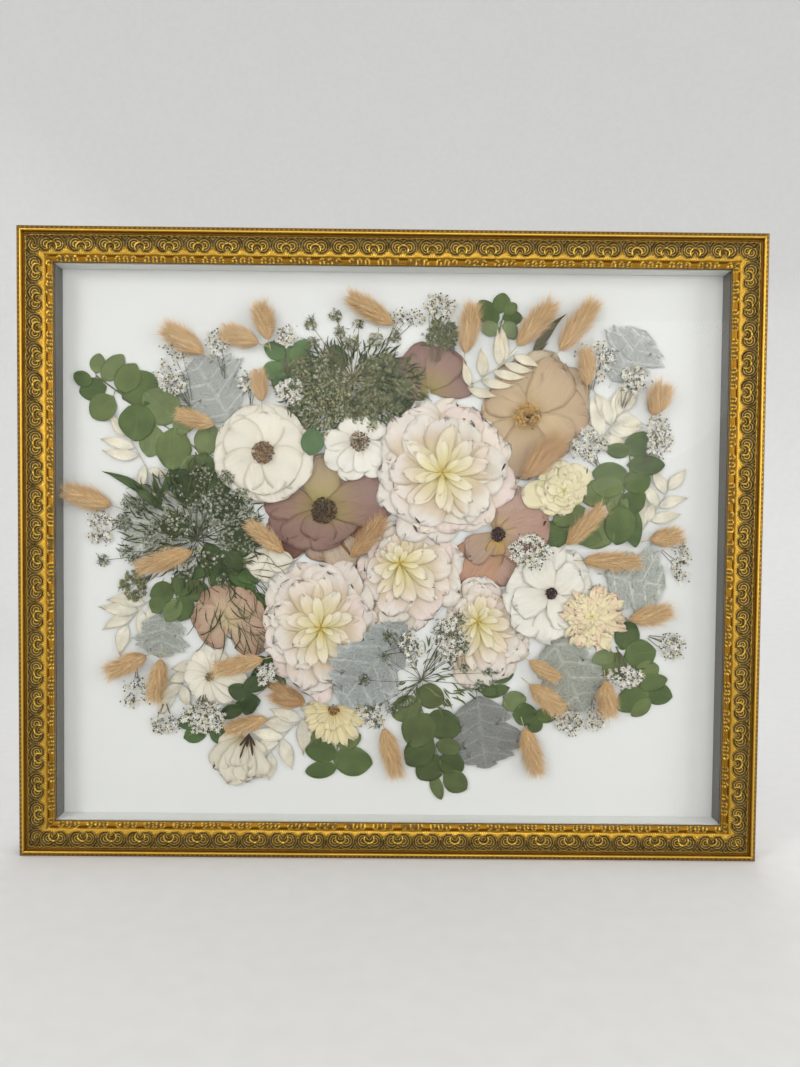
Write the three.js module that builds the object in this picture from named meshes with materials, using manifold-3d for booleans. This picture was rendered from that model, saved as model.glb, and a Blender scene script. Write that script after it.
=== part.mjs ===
// Pressed flower frame: an ornate gilded moulding glazed over an arrangement of pressed flowers.
// Millimetres, +Z up, front towards -Y. The origin is under the middle of the frame, on the
// surface that it stands on.
import * as THREE from "three";
import { mergeVertices } from "three/addons/utils/BufferGeometryUtils.js";
import Module from "manifold-3d";

const wasm = await Module();
wasm.setup();

// ---------------------------------------------------------------- driving dimensions
const INCH = 25.4;
const FRAME_W = 26 * INCH; // outside of the moulding, left to right
const FRAME_H = 22 * INCH; // outside of the moulding, bottom to top
const FACE = 1.25 * INCH; // width of the moulding's face
const DEPTH = 1.5 * INCH; // depth of the moulding, front to back
const RABBET = 0.25 * INCH; // how far the lip covers the glass
const LIP_BACK = 6.0; // depth of the lip's back, where the glass bears
const GLASS_T = 2.0;
const SPACER_DEPTH = 15.7; // holds the glass clear of the flowers
const BOARD_T = 5.0;
const BACK_T = 3.0;
const BUMPER_T = 1.6; // wall bumpers on the moulding's back
const GAP = 0.3; // clearance between pieces that bear on each other
const FIT = 0.8; // clearance of the glass and boards in the rabbet
const STEM_W = 1.4;
const LEAF_T = 0.7;
const PETAL_T = 0.8;
const TAIL_T = 7.5;
const UMBEL_HUB_R = 3;
const JOIN_TOLERANCE = 0.001;

const STAND_OFF = GAP + BUMPER_T;
const FRONT_Y = -(DEPTH + STAND_OFF) / 2; // foremost point of the moulding
const BACK_Y = FRONT_Y + DEPTH; // flat back of the moulding
const RABBET_W = FRAME_W - 2 * (FACE - RABBET);
const RABBET_H = FRAME_H - 2 * (FACE - RABBET);
const GLASS_D = LIP_BACK + GAP;
const SPACER_D = GLASS_D + GLASS_T + GAP;
const BOARD_D = SPACER_D + SPACER_DEPTH + GAP;
const BACK_D = BOARD_D + BOARD_T + GAP;

// ---------------------------------------------------------------- materials
const finish = (color, roughness, metalness = 0) =>
  new THREE.MeshStandardMaterial({ color, roughness, metalness });
const gilt = finish(0xc9a032, 0.32, 0.9);
const glass = new THREE.MeshStandardMaterial({
  color: 0xf4fbf8,
  roughness: 0.03,
  transparent: true,
  opacity: 0.15,
});
const spacerBoard = finish(0xb9b9b6, 0.85);
const mountBoard = finish(0xeeeeea, 0.9);
const hardboard = finish(0x7a5638, 0.8);
const zincPlate = finish(0xb8bcc0, 0.35, 1.0);
const feltPad = finish(0x3a3a3a, 0.9);
const blush = finish(0xf0e1d4, 0.8);
const cream = finish(0xf1ece0, 0.8);
const mauve = finish(0xa88a80, 0.8);
const tan = finish(0xc9a985, 0.8);
const rust = finish(0xa9745a, 0.8);
const rosePink = finish(0xd8b6a4, 0.8);
const yellow = finish(0xe8d29a, 0.8);
const leafGreen = finish(0x5d7546, 0.7);
const leafGrey = finish(0xadb2ae, 0.85);
const leafCream = finish(0xeee6d2, 0.8);
const umbelGreen = finish(0x56603a, 0.8);
const tailTan = finish(0xd6a069, 0.9);

const root = new THREE.Group();
const arrangement = new THREE.Group(); // x to the right, y up the board, z out of the board
root.add(arrangement);

function add(name, geometry, material, parent = root) {
  const mesh = new THREE.Mesh(geometry, material);
  mesh.name = name;
  parent.add(mesh);
  return mesh;
}

// ---------------------------------------------------------------- joining solids
function toSolid(geometry) {
  const bare = geometry.clone();
  bare.deleteAttribute("normal");
  bare.deleteAttribute("uv");
  const merged = mergeVertices(bare, 1e-3);
  return new wasm.Manifold(
    new wasm.Mesh({
      numProp: 3,
      vertProperties: new Float32Array(merged.attributes.position.array),
      triVerts: new Uint32Array(merged.index.array),
    }),
  );
}

// Joins closed meshes into one solid, and merges the flat faces that the join leaves split.
function union(geometries) {
  const solid = geometries
    .map(toSolid)
    .reduce((a, b) => a.add(b))
    .asOriginal()
    .simplify(JOIN_TOLERANCE);
  const { vertProperties, triVerts } = solid.getMesh();
  const joined = new THREE.BufferGeometry();
  joined.setAttribute("position", new THREE.BufferAttribute(vertProperties, 3));
  joined.setIndex(new THREE.BufferAttribute(triVerts, 1));
  return joined;
}

// ---------------------------------------------------------------- moulding and glazing
// The moulding's section: [distance in from the outer edge, depth behind the front].
const SECTION = [
  [0, DEPTH],
  [0, 4.6],
  [1.0, 2.6],
  [3.0, 1.4],
  [3.3, 0.7],
  [4.4, 0],
  [5.5, 0.7],
  [5.9, 2.2],
  [7.0, 3.2],
  [8.0, 2.3],
  [8.5, 1.3],
  [9.1, 1.9],
  [13.0, 1.2],
  [18.0, 1.5],
  [24.0, 3.0],
  [24.9, 2.5],
  [25.8, 3.1],
  [28.0, 3.0],
  [30.6, 4.0],
  [FACE, 5.0],
  [FACE, LIP_BACK],
  [FACE - RABBET, LIP_BACK],
  [FACE - RABBET, DEPTH],
];

// A mitred rail: the section runs along X, and its ends are cut back at 45 degrees.
function railGeometry(length) {
  const section = new THREE.Shape(SECTION.map(([inward, depth]) => new THREE.Vector2(inward, depth)));
  const bar = new THREE.ExtrudeGeometry(section, { depth: 1, steps: 1, bevelEnabled: false });
  const p = bar.attributes.position;
  for (let i = 0; i < p.count; i++) {
    const [inward, depth, end] = [p.getX(i), p.getY(i), p.getZ(i) < 0.5 ? 1 : -1];
    p.setXYZ(i, end * (length / 2 - inward - GAP), FRONT_Y + depth, inward);
  }
  return bar;
}

function rail(name, length, turn, x, z) {
  const mesh = add(name, railGeometry(length), gilt);
  mesh.rotation.y = turn;
  mesh.position.set(x, 0, z);
}
rail("moulding_bottom", FRAME_W, 0, 0, 0);
rail("moulding_top", FRAME_W, Math.PI, 0, FRAME_H);
rail("moulding_left", FRAME_H, Math.PI / 2, -FRAME_W / 2, FRAME_H / 2);
rail("moulding_right", FRAME_H, -Math.PI / 2, FRAME_W / 2, FRAME_H / 2);

function slab(name, width, height, depth, thickness, material, x = 0, z = FRAME_H / 2) {
  const mesh = add(name, new THREE.BoxGeometry(width, thickness, height), material);
  mesh.position.set(x, FRONT_Y + depth + thickness / 2, z);
}
const PANE_W = RABBET_W - 2 * FIT;
const PANE_H = RABBET_H - 2 * FIT;
slab("glass_pane", PANE_W, PANE_H, GLASS_D, GLASS_T, glass);
slab("mount_board", PANE_W, PANE_H, BOARD_D, BOARD_T, mountBoard);
slab("back_board", PANE_W, PANE_H, BACK_D, BACK_T, hardboard);

// Four spacers stand between the glass and the board, flush with the moulding's sight edge.
const SPACER_W = RABBET - FIT;
const SPACER_X = PANE_W / 2 - SPACER_W / 2;
const SPACER_Z = PANE_H / 2 - SPACER_W / 2;
const SIDE_H = PANE_H - 2 * SPACER_W - 2 * GAP;
slab("spacer_top", PANE_W, SPACER_W, SPACER_D, SPACER_DEPTH, spacerBoard, 0, FRAME_H / 2 + SPACER_Z);
slab("spacer_bottom", PANE_W, SPACER_W, SPACER_D, SPACER_DEPTH, spacerBoard, 0, FRAME_H / 2 - SPACER_Z);
slab("spacer_left", SPACER_W, SIDE_H, SPACER_D, SPACER_DEPTH, spacerBoard, -SPACER_X);
slab("spacer_right", SPACER_W, SIDE_H, SPACER_D, SPACER_DEPTH, spacerBoard, SPACER_X);

// ---------------------------------------------------------------- hanging hardware
const HANGER_W = 57;
const HANGER_H = 13;
const HANGER_T = 1.0;
const HANGER_X = 200;
const HANGER_Z = FRAME_H - 14;
const BUMPER_R = 6;
const BUMPER_INSET = 13; // from the outer edges to a bumper's middle
const TEETH = 9;
const TOOTH_PITCH = 3.6;
const TOOTH_H = 1.8;

// A sawtooth hanger: a steel strip with teeth along the middle of its lower edge.
function hangerGeometry() {
  const s = new THREE.Shape();
  s.moveTo(-HANGER_W / 2, -HANGER_H / 2);
  for (let i = 0; i < TEETH; i++) {
    const x = (i - TEETH / 2) * TOOTH_PITCH;
    s.lineTo(x, -HANGER_H / 2);
    s.lineTo(x + TOOTH_PITCH / 2, -HANGER_H / 2 + TOOTH_H);
  }
  s.lineTo((TEETH / 2) * TOOTH_PITCH, -HANGER_H / 2);
  s.lineTo(HANGER_W / 2, -HANGER_H / 2);
  s.lineTo(HANGER_W / 2, HANGER_H / 2);
  s.lineTo(-HANGER_W / 2, HANGER_H / 2);
  const plate = new THREE.ExtrudeGeometry(s, { depth: HANGER_T, bevelEnabled: false });
  return plate.rotateX(Math.PI / 2).translate(0, HANGER_T, 0);
}
for (const [side, sign] of [["left", -1], ["right", 1]]) {
  const hanger = add(`hanger_${side}`, hangerGeometry(), zincPlate);
  hanger.position.set(sign * HANGER_X, BACK_Y + GAP, HANGER_Z);
  const disc = new THREE.CylinderGeometry(BUMPER_R, BUMPER_R, BUMPER_T, 20);
  const bumper = add(`bumper_${side}`, disc, feltPad);
  bumper.position.set(sign * (FRAME_W / 2 - BUMPER_INSET), BACK_Y + GAP + BUMPER_T / 2, BUMPER_INSET);
}

// ---------------------------------------------------------------- the pressed arrangement
arrangement.position.set(0, FRONT_Y + BOARD_D, FRAME_H / 2);
arrangement.rotation.x = Math.PI / 2;

const rad = THREE.MathUtils.degToRad;
const plate = (points, thickness) =>
  new THREE.ExtrudeGeometry(new THREE.Shape(points.map(([x, y]) => new THREE.Vector2(x, y))), {
    depth: thickness,
    bevelEnabled: false,
  });

// A strip of even width along a list of points.
function strip(points, width, thickness) {
  const bars = points.slice(1).map(([x, y], i) => {
    const [x0, y0] = points[i];
    const length = Math.hypot(x - x0, y - y0) + width;
    const bar = new THREE.BoxGeometry(length, width, thickness);
    bar.rotateZ(Math.atan2(y - y0, x - x0));
    return bar.translate((x + x0) / 2, (y + y0) / 2, thickness / 2);
  });
  return union(bars);
}

function ovalPoints(x, y, long, short, degrees, count = 7) {
  const [c, s] = [Math.cos(rad(degrees)), Math.sin(rad(degrees))];
  return Array.from({ length: count }, (_, i) => {
    const t = (i / count) * 2 * Math.PI;
    const [u, v] = [long * Math.cos(t), short * Math.sin(t)];
    return [x + c * u - s * v, y + s * u + c * v];
  });
}

function nearestOn(stem, x, y) {
  let best = null;
  stem.slice(1).forEach(([bx, by], i) => {
    const [ax, ay] = stem[i];
    const along = ((x - ax) * (bx - ax) + (y - ay) * (by - ay)) / ((bx - ax) ** 2 + (by - ay) ** 2);
    const t = THREE.MathUtils.clamp(along, 0, 1);
    const point = [ax + t * (bx - ax), ay + t * (by - ay)];
    const reach = Math.hypot(point[0] - x, point[1] - y);
    if (!best || reach < best.reach) best = { reach, point };
  });
  return best.point;
}

// A round blade with its centre at (x, y), on a stalk from (rootX, rootY), as one outline. The
// blade tapers into the stalk unless the stalk is kept thin all the way.
function stalked(rootX, rootY, blade, x, y, thin = false) {
  const reach = ([px, py]) => Math.hypot(px - rootX, py - rootY);
  const nearest = blade.indexOf(blade.reduce((a, b) => (reach(a) < reach(b) ? a : b)));
  const length = Math.max(reach([x, y]), 1);
  const [sideX, sideY] = [(-(y - rootY) / length) * STEM_W * 0.5, ((x - rootX) / length) * STEM_W * 0.5];
  const rest = [...blade.slice(nearest + 1), ...blade.slice(0, nearest)];
  const [neckX, neckY] = blade[nearest];
  const pair = (px, py) => [[px + sideX, py + sideY], [px - sideX, py - sideY]];
  const [rootLeft, rootRight] = pair(rootX, rootY);
  const [neckLeft, neckRight] = pair(neckX, neckY);
  return thin ? [neckLeft, rootLeft, rootRight, neckRight, ...rest] : [rootLeft, rootRight, ...rest];
}

// A spray of round leaves on stalks from the stem: [x, y, half length, half width, heading].
function roundLeafSpray(stem, leaves) {
  const parts = [strip(stem, STEM_W, LEAF_T)];
  for (const [x, y, long, short, heading] of leaves) {
    const [rootX, rootY] = nearestOn(stem, x, y);
    const blade = ovalPoints(x, y, long, short, heading);
    const inside = Math.hypot(x - rootX, y - rootY) < short;
    parts.push(plate(inside ? blade : stalked(rootX, rootY, blade, x, y), LEAF_T));
  }
  return union(parts);
}

// A spray of pointed leaves: [base x, base y, tip x, tip y, half width].
function pointedLeafSpray(stem, leaves) {
  const parts = [strip(stem, STEM_W, LEAF_T)];
  for (const [bx, by, tx, ty, half] of leaves) {
    const [rootX, rootY] = nearestOn(stem, bx, by);
    const length = Math.hypot(tx - rootX, ty - rootY);
    const [ux, uy] = [(tx - rootX) / length, (ty - rootY) / length];
    const at = (along, across) => [
      rootX + ux * length * along - uy * half * across,
      rootY + uy * length * along + ux * half * across,
    ];
    const outline = [at(0, -0.15), at(0.35, -1), at(0.65, -0.8), at(1, 0), at(0.5, 1), at(0, 0.15)];
    parts.push(plate(outline, LEAF_T));
  }
  return union(parts);
}

// A felted leaf with a lobed edge that fans out from its stalk.
function lobedLeaf(x, y, length, half, degrees, lobes = 5) {
  const [c, s] = [Math.cos(rad(degrees)), Math.sin(rad(degrees))];
  const side = Array.from({ length: lobes * 2 }, (_, i) => {
    const t = (i + 1) / (lobes * 2 + 1);
    const width = half * Math.sin(Math.PI * t ** 0.85) ** 0.6 * (i % 2 ? 0.86 : 1);
    return [t * length, width];
  });
  const outline = [[0, 1], ...side, [length, 0], ...side.reverse().map(([u, v]) => [u, -v]), [0, -1]];
  return plate(outline.map(([u, v]) => [x + c * u + s * v, y + s * u - c * v]), LEAF_T);
}

// A bloom has a hub and a reach in each of eight directions, counted anticlockwise from +x.
function bloom(reach, petals, tiers) {
  const parts = [];
  for (let tier = 0; tier < tiers; tier++) {
    const scale = 1 - tier / (tiers + 0.6);
    const outline = [];
    const count = petals * 2;
    for (let i = 0; i < count; i++) {
      const turn = i / count;
      const k = turn * 8;
      const [a, b] = [reach[Math.floor(k) % 8], reach[(Math.floor(k) + 1) % 8]];
      const even = a + (b - a) * (k % 1);
      const scallop = i % 2 === 0 ? 0.88 : 1;
      const angle = (turn + tier / petals / 2) * 2 * Math.PI;
      const radius = Math.max(even * scale * scallop, 3);
      outline.push([radius * Math.cos(angle), radius * Math.sin(angle)]);
    }
    const height = PETAL_T * (tier + 1);
    parts.push(plate(outline, height));
  }
  return union(parts);
}

// An umbel: rays from one hub, each ending in a small head of florets.
function umbel(hubX, hubY, heads) {
  const hub = new THREE.CylinderGeometry(UMBEL_HUB_R, UMBEL_HUB_R, LEAF_T * 2, 8).rotateX(Math.PI / 2);
  const parts = [hub.translate(hubX, hubY, LEAF_T)];
  for (const [x, y, r] of heads) {
    const head = ovalPoints(x, y, r, r, THREE.MathUtils.radToDeg(Math.atan2(y - hubY, x - hubX)), 6);
    parts.push(plate(stalked(hubX, hubY, head, x, y, true), LEAF_T * 2));
  }
  return union(parts);
}

// A bunny tail: a flattened egg-shaped head on a short stalk. The heading points to its tip.
function bunnyTail(x, y, length, width, degrees) {
  const head = new THREE.SphereGeometry(1, 10, 8);
  head.scale(length / 2, width / 2, TAIL_T / 2).translate(0, 0, TAIL_T / 2);
  const stalk = new THREE.BoxGeometry(length * 0.4, STEM_W, STEM_W);
  stalk.translate(-length * 0.6, 0, TAIL_T / 2);
  return union([head, stalk]).rotateZ(rad(degrees)).translate(x, y, 0);
}

// Every specimen rests on the highest of what lies under it. The tops are kept in cells.
const CELL = 2;
const tops = new Map();

function cellsUnder(geometry) {
  const flat = geometry.index ? geometry.toNonIndexed() : geometry;
  const p = flat.attributes.position;
  const cells = new Map();
  const at = (i) => new THREE.Vector3().fromBufferAttribute(p, i);
  for (let i = 0; i < p.count; i += 3) {
    const [a, b, c] = [at(i), at(i + 1), at(i + 2)];
    const top = Math.max(a.z, b.z, c.z);
    const longest = Math.max(a.distanceTo(b), b.distanceTo(c), c.distanceTo(a));
    const steps = Math.max(1, Math.ceil(longest / (CELL * 0.5)));
    for (let m = 0; m <= steps; m++) {
      for (let n = 0; n <= steps - m; n++) {
        const [u, v] = [m / steps, n / steps];
        const x = a.x + u * (b.x - a.x) + v * (c.x - a.x);
        const y = a.y + u * (b.y - a.y) + v * (c.y - a.y);
        const key = `${Math.floor(x / CELL)},${Math.floor(y / CELL)}`;
        cells.set(key, Math.max(cells.get(key) ?? 0, top));
      }
    }
  }
  return cells;
}

function lay(name, geometry, material) {
  const cells = cellsUnder(geometry);
  let lift = 0;
  for (const key of cells.keys()) lift = Math.max(lift, tops.get(key) ?? 0);
  lift += GAP;
  for (const [key, top] of cells) tops.set(key, lift + top);
  add(name, geometry, material, arrangement).position.z = lift;
}

function layBloom(name, x, y, reach, petals, tiers, material) {
  lay(name, bloom(reach, petals, tiers).translate(x, y, 0), material);
}

// ---- leaves and sprays that lie on the board
lay("dusty_miller_left", lobedLeaf(-172, 15, 74, 30, 174), leafGrey);
lay(
  "ruscus_upper_left",
  pointedLeafSpray(
    [[-210, 48], [-222, 68], [-233, 88], [-242, 104]],
    [[-233, 88, -264, 96, 5], [-238, 98, -258, 116, 5], [-230, 80, -262, 80, 5], [-226, 72, -229, 45, 4],
      [-222, 68, -200, 62, 4], [-216, 58, -204, 40, 4]],
  ),
  leafCream,
);
lay(
  "ruscus_left",
  pointedLeafSpray(
    [[-214, -47], [-226, -56], [-236, -68], [-244, -82]],
    [[-224, -54, -258, -46, 6], [-230, -60, -266, -60, 6], [-234, -66, -264, -74, 5],
      [-240, -74, -252, -100, 6], [-228, -60, -220, -96, 6], [-218, -52, -214, -86, 5]],
  ),
  leafCream,
);
lay(
  "ruscus_bottom",
  pointedLeafSpray(
    [[-77, -157], [-88, -166], [-98, -177], [-110, -192]],
    [[-80, -158, -76, -192, 7], [-82, -158, -110, -152, 6], [-88, -165, -116, -163, 7],
      [-98, -176, -128, -172, 6], [-102, -181, -130, -186, 5], [-98, -178, -90, -206, 6],
      [-110, -190, -108, -216, 5]],
  ),
  leafCream,
);
lay(
  "ruscus_right",
  pointedLeafSpray(
    [[220, 4], [234, 24], [246, 42], [256, 62]],
    [[217, 6, 213, 29, 5], [228, 14, 228, 50, 5], [234, 25, 236, 42, 5], [242, 38, 231, 62, 5],
      [250, 50, 238, 74, 5], [236, 26, 264, 32, 5], [244, 38, 268, 50, 5], [252, 54, 268, 72, 5]],
  ),
  leafCream,
);
lay(
  "ruscus_upper_right",
  pointedLeafSpray(
    [[190, 97], [200, 113], [208, 130]],
    [[192, 100, 179, 138, 6], [199, 112, 186, 144, 6], [203, 120, 206, 146, 5], [207, 124, 222, 146, 6],
      [203, 116, 228, 118, 6], [197, 106, 228, 108, 6], [194, 98, 214, 96, 5], [189, 96, 160, 118, 5]],
  ),
  leafCream,
);
lay("dusty_miller_top_left", lobedLeaf(-146, 113, 64, 29, 122), leafGrey);
lay("dusty_miller_top_right", lobedLeaf(200, 152, 54, 24, 58), leafGrey);
lay("dusty_miller_right", lobedLeaf(196, -24, 56, 27, -10), leafGrey);
lay("dusty_miller_low_left", lobedLeaf(-205, -62, 42, 20, -98), leafGrey);
lay("dusty_miller_bottom", lobedLeaf(80, -137, 67, 31, -82), leafGrey);
lay("dusty_miller_lower_right", lobedLeaf(148, -82, 74, 28, -66), leafGrey);
lay("dusty_miller_centre", lobedLeaf(14, -70, 95, 27, -128), leafGrey);

lay(
  "eucalyptus_top_left",
  roundLeafSpray(
    [[-268, 152], [-246, 136], [-231, 126], [-215, 113], [-196, 101], [-181, 90]],
    [[-267, 163, 8, 6, 80], [-253, 159, 13, 8, 50], [-280, 149, 8, 6, 150], [-271, 140, 11, 9, 10],
      [-262, 124, 12, 11, 45], [-240, 150, 13, 10, 60], [-229, 141, 16, 14, 30], [-209, 125, 17, 15, 140],
      [-231, 111, 15, 14, 80], [-218, 94, 13, 10, 80], [-198, 87, 17, 14, 90], [-188, 112, 12, 9, 60]],
  ),
  leafGreen,
);
lay(
  "eucalyptus_top",
  roundLeafSpray(
    [[93, 176], [96, 195], [100, 210], [103, 216]],
    [[86, 212, 12, 8, 125], [98, 221, 8, 7, 80], [106, 216, 6, 5, 40], [108, 208, 8, 6, 0],
      [106, 197, 8, 6, -60]],
  ),
  leafGreen,
);
lay(
  "eucalyptus_right",
  roundLeafSpray(
    [[215, 96], [217, 73], [213, 55], [204, 37], [188, 22], [162, 10], [146, 8]],
    [[226, 95, 15, 10, 15], [206, 89, 10, 6, -5], [231, 76, 15, 8, 0], [200, 67, 15, 10, -10],
      [223, 61, 11, 10, 20], [197, 56, 13, 9, 0], [219, 42, 12, 9, 30], [187, 50, 13, 11, 20],
      [208, 22, 16, 12, 80], [219, 22, 18, 8, -80], [190, 14, 16, 12, 30], [162, 30, 14, 9, 25],
      [148, 12, 14, 11, 10], [132, 6, 9, 8, 10]],
  ),
  leafGreen,
);
lay(
  "eucalyptus_lower_right",
  roundLeafSpray(
    [[207, -90], [214, -105], [226, -122], [237, -136]],
    [[217, -80, 12, 10, 70], [229, -97, 13, 12, 10], [196, -100, 10, 6, 10], [206, -108, 12, 10, 70],
      [236, -113, 10, 9, 20], [241, -123, 12, 7, 15], [246, -133, 12, 9, -15], [223, -138, 15, 10, 30],
      [231, -146, 10, 6, 40]],
  ),
  leafGreen,
);
lay(
  "eucalyptus_low_middle",
  roundLeafSpray(
    [[104, -137], [114, -150], [124, -164]],
    [[98, -132, 11, 5, 15], [114, -141, 10, 8, 20], [124, -153, 10, 9, 0], [134, -163, 7, 6, 60],
      [144, -153, 10, 7, 10]],
  ),
  leafGreen,
);
lay(
  "eucalyptus_bottom",
  roundLeafSpray(
    [[22, -132], [31, -153], [38, -170], [44, -190], [50, -208]],
    [[37, -137, 12, 10, -20], [16, -149, 13, 11, 30], [27, -168, 15, 14, 60], [49, -163, 15, 12, -20],
      [28, -189, 14, 12, 40], [54, -183, 10, 7, -10], [38, -203, 13, 11, 45], [57, -199, 11, 10, -30],
      [61, -216, 11, 9, -30], [44, -221, 11, 5, 110]],
  ),
  leafGreen,
);
lay(
  "eucalyptus_bottom_left",
  roundLeafSpray(
    [[-46, -174], [-48, -188], [-48, -202]],
    [[-64, -176, 7, 8, 0], [-62, -189, 13, 9, -10], [-38, -178, 11, 8, 20], [-34, -198, 16, 12, -10],
      [-62, -206, 13, 7, 10]],
  ),
  leafGreen,
);
lay(
  "eucalyptus_low_left",
  roundLeafSpray(
    [[-200, -30], [-196, -46], [-190, -64]],
    [[-208, -44, 10, 9, 10], [-212, -55, 7, 7, 60], [-190, -37, 10, 9, 90], [-177, -42, 10, 9, 0],
      [-189, -58, 11, 9, 80]],
  ),
  leafGreen,
);

// ---- blooms: name, hub, reach east, north-east, north ... south-east, petals, tiers
layBloom("poppy_mauve_top", 33, 142, [33, 36, 41, 38, 24, 8, 5, 16], 7, 1, mauve);
layBloom("poppy_rust", 97, 12, [45, 46, 42, 17, 18, 33, 40, 30], 8, 2, rust);
layBloom("poppy_pink_left", -150, -66, [38, 28, 28, 28, 30, 28, 30, 42], 6, 1, rosePink);
layBloom("rosebud_cream", -135, -194, [22, 22, 20, 22, 22, 21, 21, 24], 6, 2, cream);
layBloom("zinnia_yellow", -51, -150, [28, 9, 5, 12, 28, 27, 33, 29], 12, 1, yellow);
layBloom("poppy_tan", 122, 120, [46, 54, 44, 32, 36, 28, 27, 40], 7, 2, tan);
layBloom("poppy_mauve_left", -62, 33, [42, 46, 45, 28, 50, 48, 34, 38], 7, 2, mauve);
layBloom("rose_white_low", -164, -120, [30, 22, 28, 25, 22, 22, 28, 36], 7, 2, cream);
lay(
  "queen_annes_lace_top",
  umbel(-36, 152, [[-52, 208, 5], [-74, 200, 5], [-31, 201, 4], [-48, 194, 5], [-72, 184, 5], [-38, 184, 6],
    [-16, 187, 6], [2, 190, 5], [-8, 167, 8], [12, 145, 8], [-10, 132, 10], [-30, 118, 8], [-60, 106, 6],
    [-76, 112, 7], [-62, 126, 9], [-80, 140, 9], [-84, 160, 9], [-62, 170, 6]]),
  umbelGreen,
);
layBloom("rose_white_left", -116, 84, [44, 45, 45, 42, 45, 45, 44, 48], 8, 3, cream);
layBloom("cosmos_cream", -29, 94, [28, 26, 24, 26, 33, 36, 36, 33], 8, 2, cream);
layBloom("ranunculus_cream", 157, 52, [19, 30, 28, 28, 38, 28, 21, 17], 9, 3, cream);
layBloom("dahlia_right", 82, -67, [42, 34, 40, 30, 22, 38, 58, 58], 13, 2, blush);
layBloom("dahlia_middle", 8, -15, [56, 40, 30, 33, 33, 45, 62, 60], 12, 2, blush);
layBloom("anemone_white", 146, -41, [36, 42, 39, 39, 42, 45, 43, 40], 8, 2, cream);
layBloom("dahlia_left", -63, -75, [40, 52, 66, 58, 52, 50, 70, 33], 12, 2, blush);
layBloom("dahlia_large", 46, 67, [67, 68, 70, 68, 56, 66, 66, 62], 13, 3, blush);
layBloom("scabiosa_pink", 183, -62, [32, 34, 29, 27, 28, 28, 30, 35], 12, 2, yellow);

// ---- what lies on top of the blooms
lay(
  "ruscus_top",
  pointedLeafSpray(
    [[68, 144], [88, 158], [104, 170], [113, 178]],
    [[69, 147, 64, 168, 4], [81, 155, 82, 180, 5], [95, 166, 97, 197, 5], [102, 170, 99, 200, 4],
      [107, 175, 133, 165, 4], [100, 168, 126, 155, 4], [90, 160, 120, 150, 4], [80, 151, 108, 141, 4],
      [68, 140, 94, 134, 4]],
  ),
  leafCream,
);
lay(
  "queen_annes_lace_left",
  umbel(-176, 4, [[-198, 62, 4], [-209, 47, 5], [-193, 50, 4], [-240, 38, 5], [-226, 34, 6],
    [-243, 20, 7], [-216, 16, 4], [-220, 5, 6], [-242, -7, 5], [-262, -15, 5], [-234, -14, 5],
    [-172, 62, 9], [-156, 44, 9], [-136, 40, 10], [-128, 22, 8], [-146, 20, 8], [-190, 16, 8],
    [-132, 0, 8], [-152, -32, 5], [-186, -28, 5]]),
  umbelGreen,
);
lay(
  "queen_annes_lace_centre",
  umbel(29, -122, [[0, -82, 6], [-6, -100, 4], [-24, -122, 5], [12, -86, 4], [46, -76, 6], [62, -66, 6],
    [60, -80, 6], [66, -90, 6], [58, -102, 4], [68, -110, 4], [90, -114, 4], [82, -126, 5], [-18, -150, 5],
    [-12, -163, 4], [2, -148, 5], [16, -142, 5]]),
  umbelGreen,
);
lay("bunny_tail_left", bunnyTail(-204, -15, 52, 20, 190), tailTan);
lay("bunny_tail_right", bunnyTail(177, 21, 52, 18, 53), tailTan);
lay("bunny_tail_low_right", bunnyTail(200, -11, 50, 18, -2), tailTan);

export default root;
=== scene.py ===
"""Looks of the pressed flower frame: gilded moulding, glass, white board and pressed flowers.

Lengths of the arrangement are in millimetres on the board: x to the right, y up, z out of the board,
from the middle of the board's face. Everything that reaches Blender is in metres.
"""

import math

import bpy
import numpy as np
from mathutils import Matrix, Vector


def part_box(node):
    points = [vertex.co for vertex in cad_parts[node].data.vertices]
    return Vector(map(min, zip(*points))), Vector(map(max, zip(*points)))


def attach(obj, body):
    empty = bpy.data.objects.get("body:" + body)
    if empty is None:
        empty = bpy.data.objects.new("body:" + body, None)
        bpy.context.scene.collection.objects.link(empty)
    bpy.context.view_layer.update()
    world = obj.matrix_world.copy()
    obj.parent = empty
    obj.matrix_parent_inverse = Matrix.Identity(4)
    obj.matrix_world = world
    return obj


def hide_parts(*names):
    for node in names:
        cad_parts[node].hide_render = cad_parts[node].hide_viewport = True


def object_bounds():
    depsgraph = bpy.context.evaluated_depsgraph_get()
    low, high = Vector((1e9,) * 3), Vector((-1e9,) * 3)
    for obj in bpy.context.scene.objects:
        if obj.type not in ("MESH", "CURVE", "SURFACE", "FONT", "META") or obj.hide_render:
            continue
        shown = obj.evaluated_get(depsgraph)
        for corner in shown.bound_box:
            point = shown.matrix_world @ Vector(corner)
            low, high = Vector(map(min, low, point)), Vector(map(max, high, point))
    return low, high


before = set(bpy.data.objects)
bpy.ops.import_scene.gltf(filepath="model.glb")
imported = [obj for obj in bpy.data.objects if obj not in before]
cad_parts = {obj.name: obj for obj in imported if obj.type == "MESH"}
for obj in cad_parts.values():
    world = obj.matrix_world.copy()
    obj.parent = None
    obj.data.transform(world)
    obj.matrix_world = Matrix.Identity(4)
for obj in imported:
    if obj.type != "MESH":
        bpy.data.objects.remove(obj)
CAD_BOX = [list(corner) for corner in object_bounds()]
rng = np.random.default_rng(26)

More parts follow.
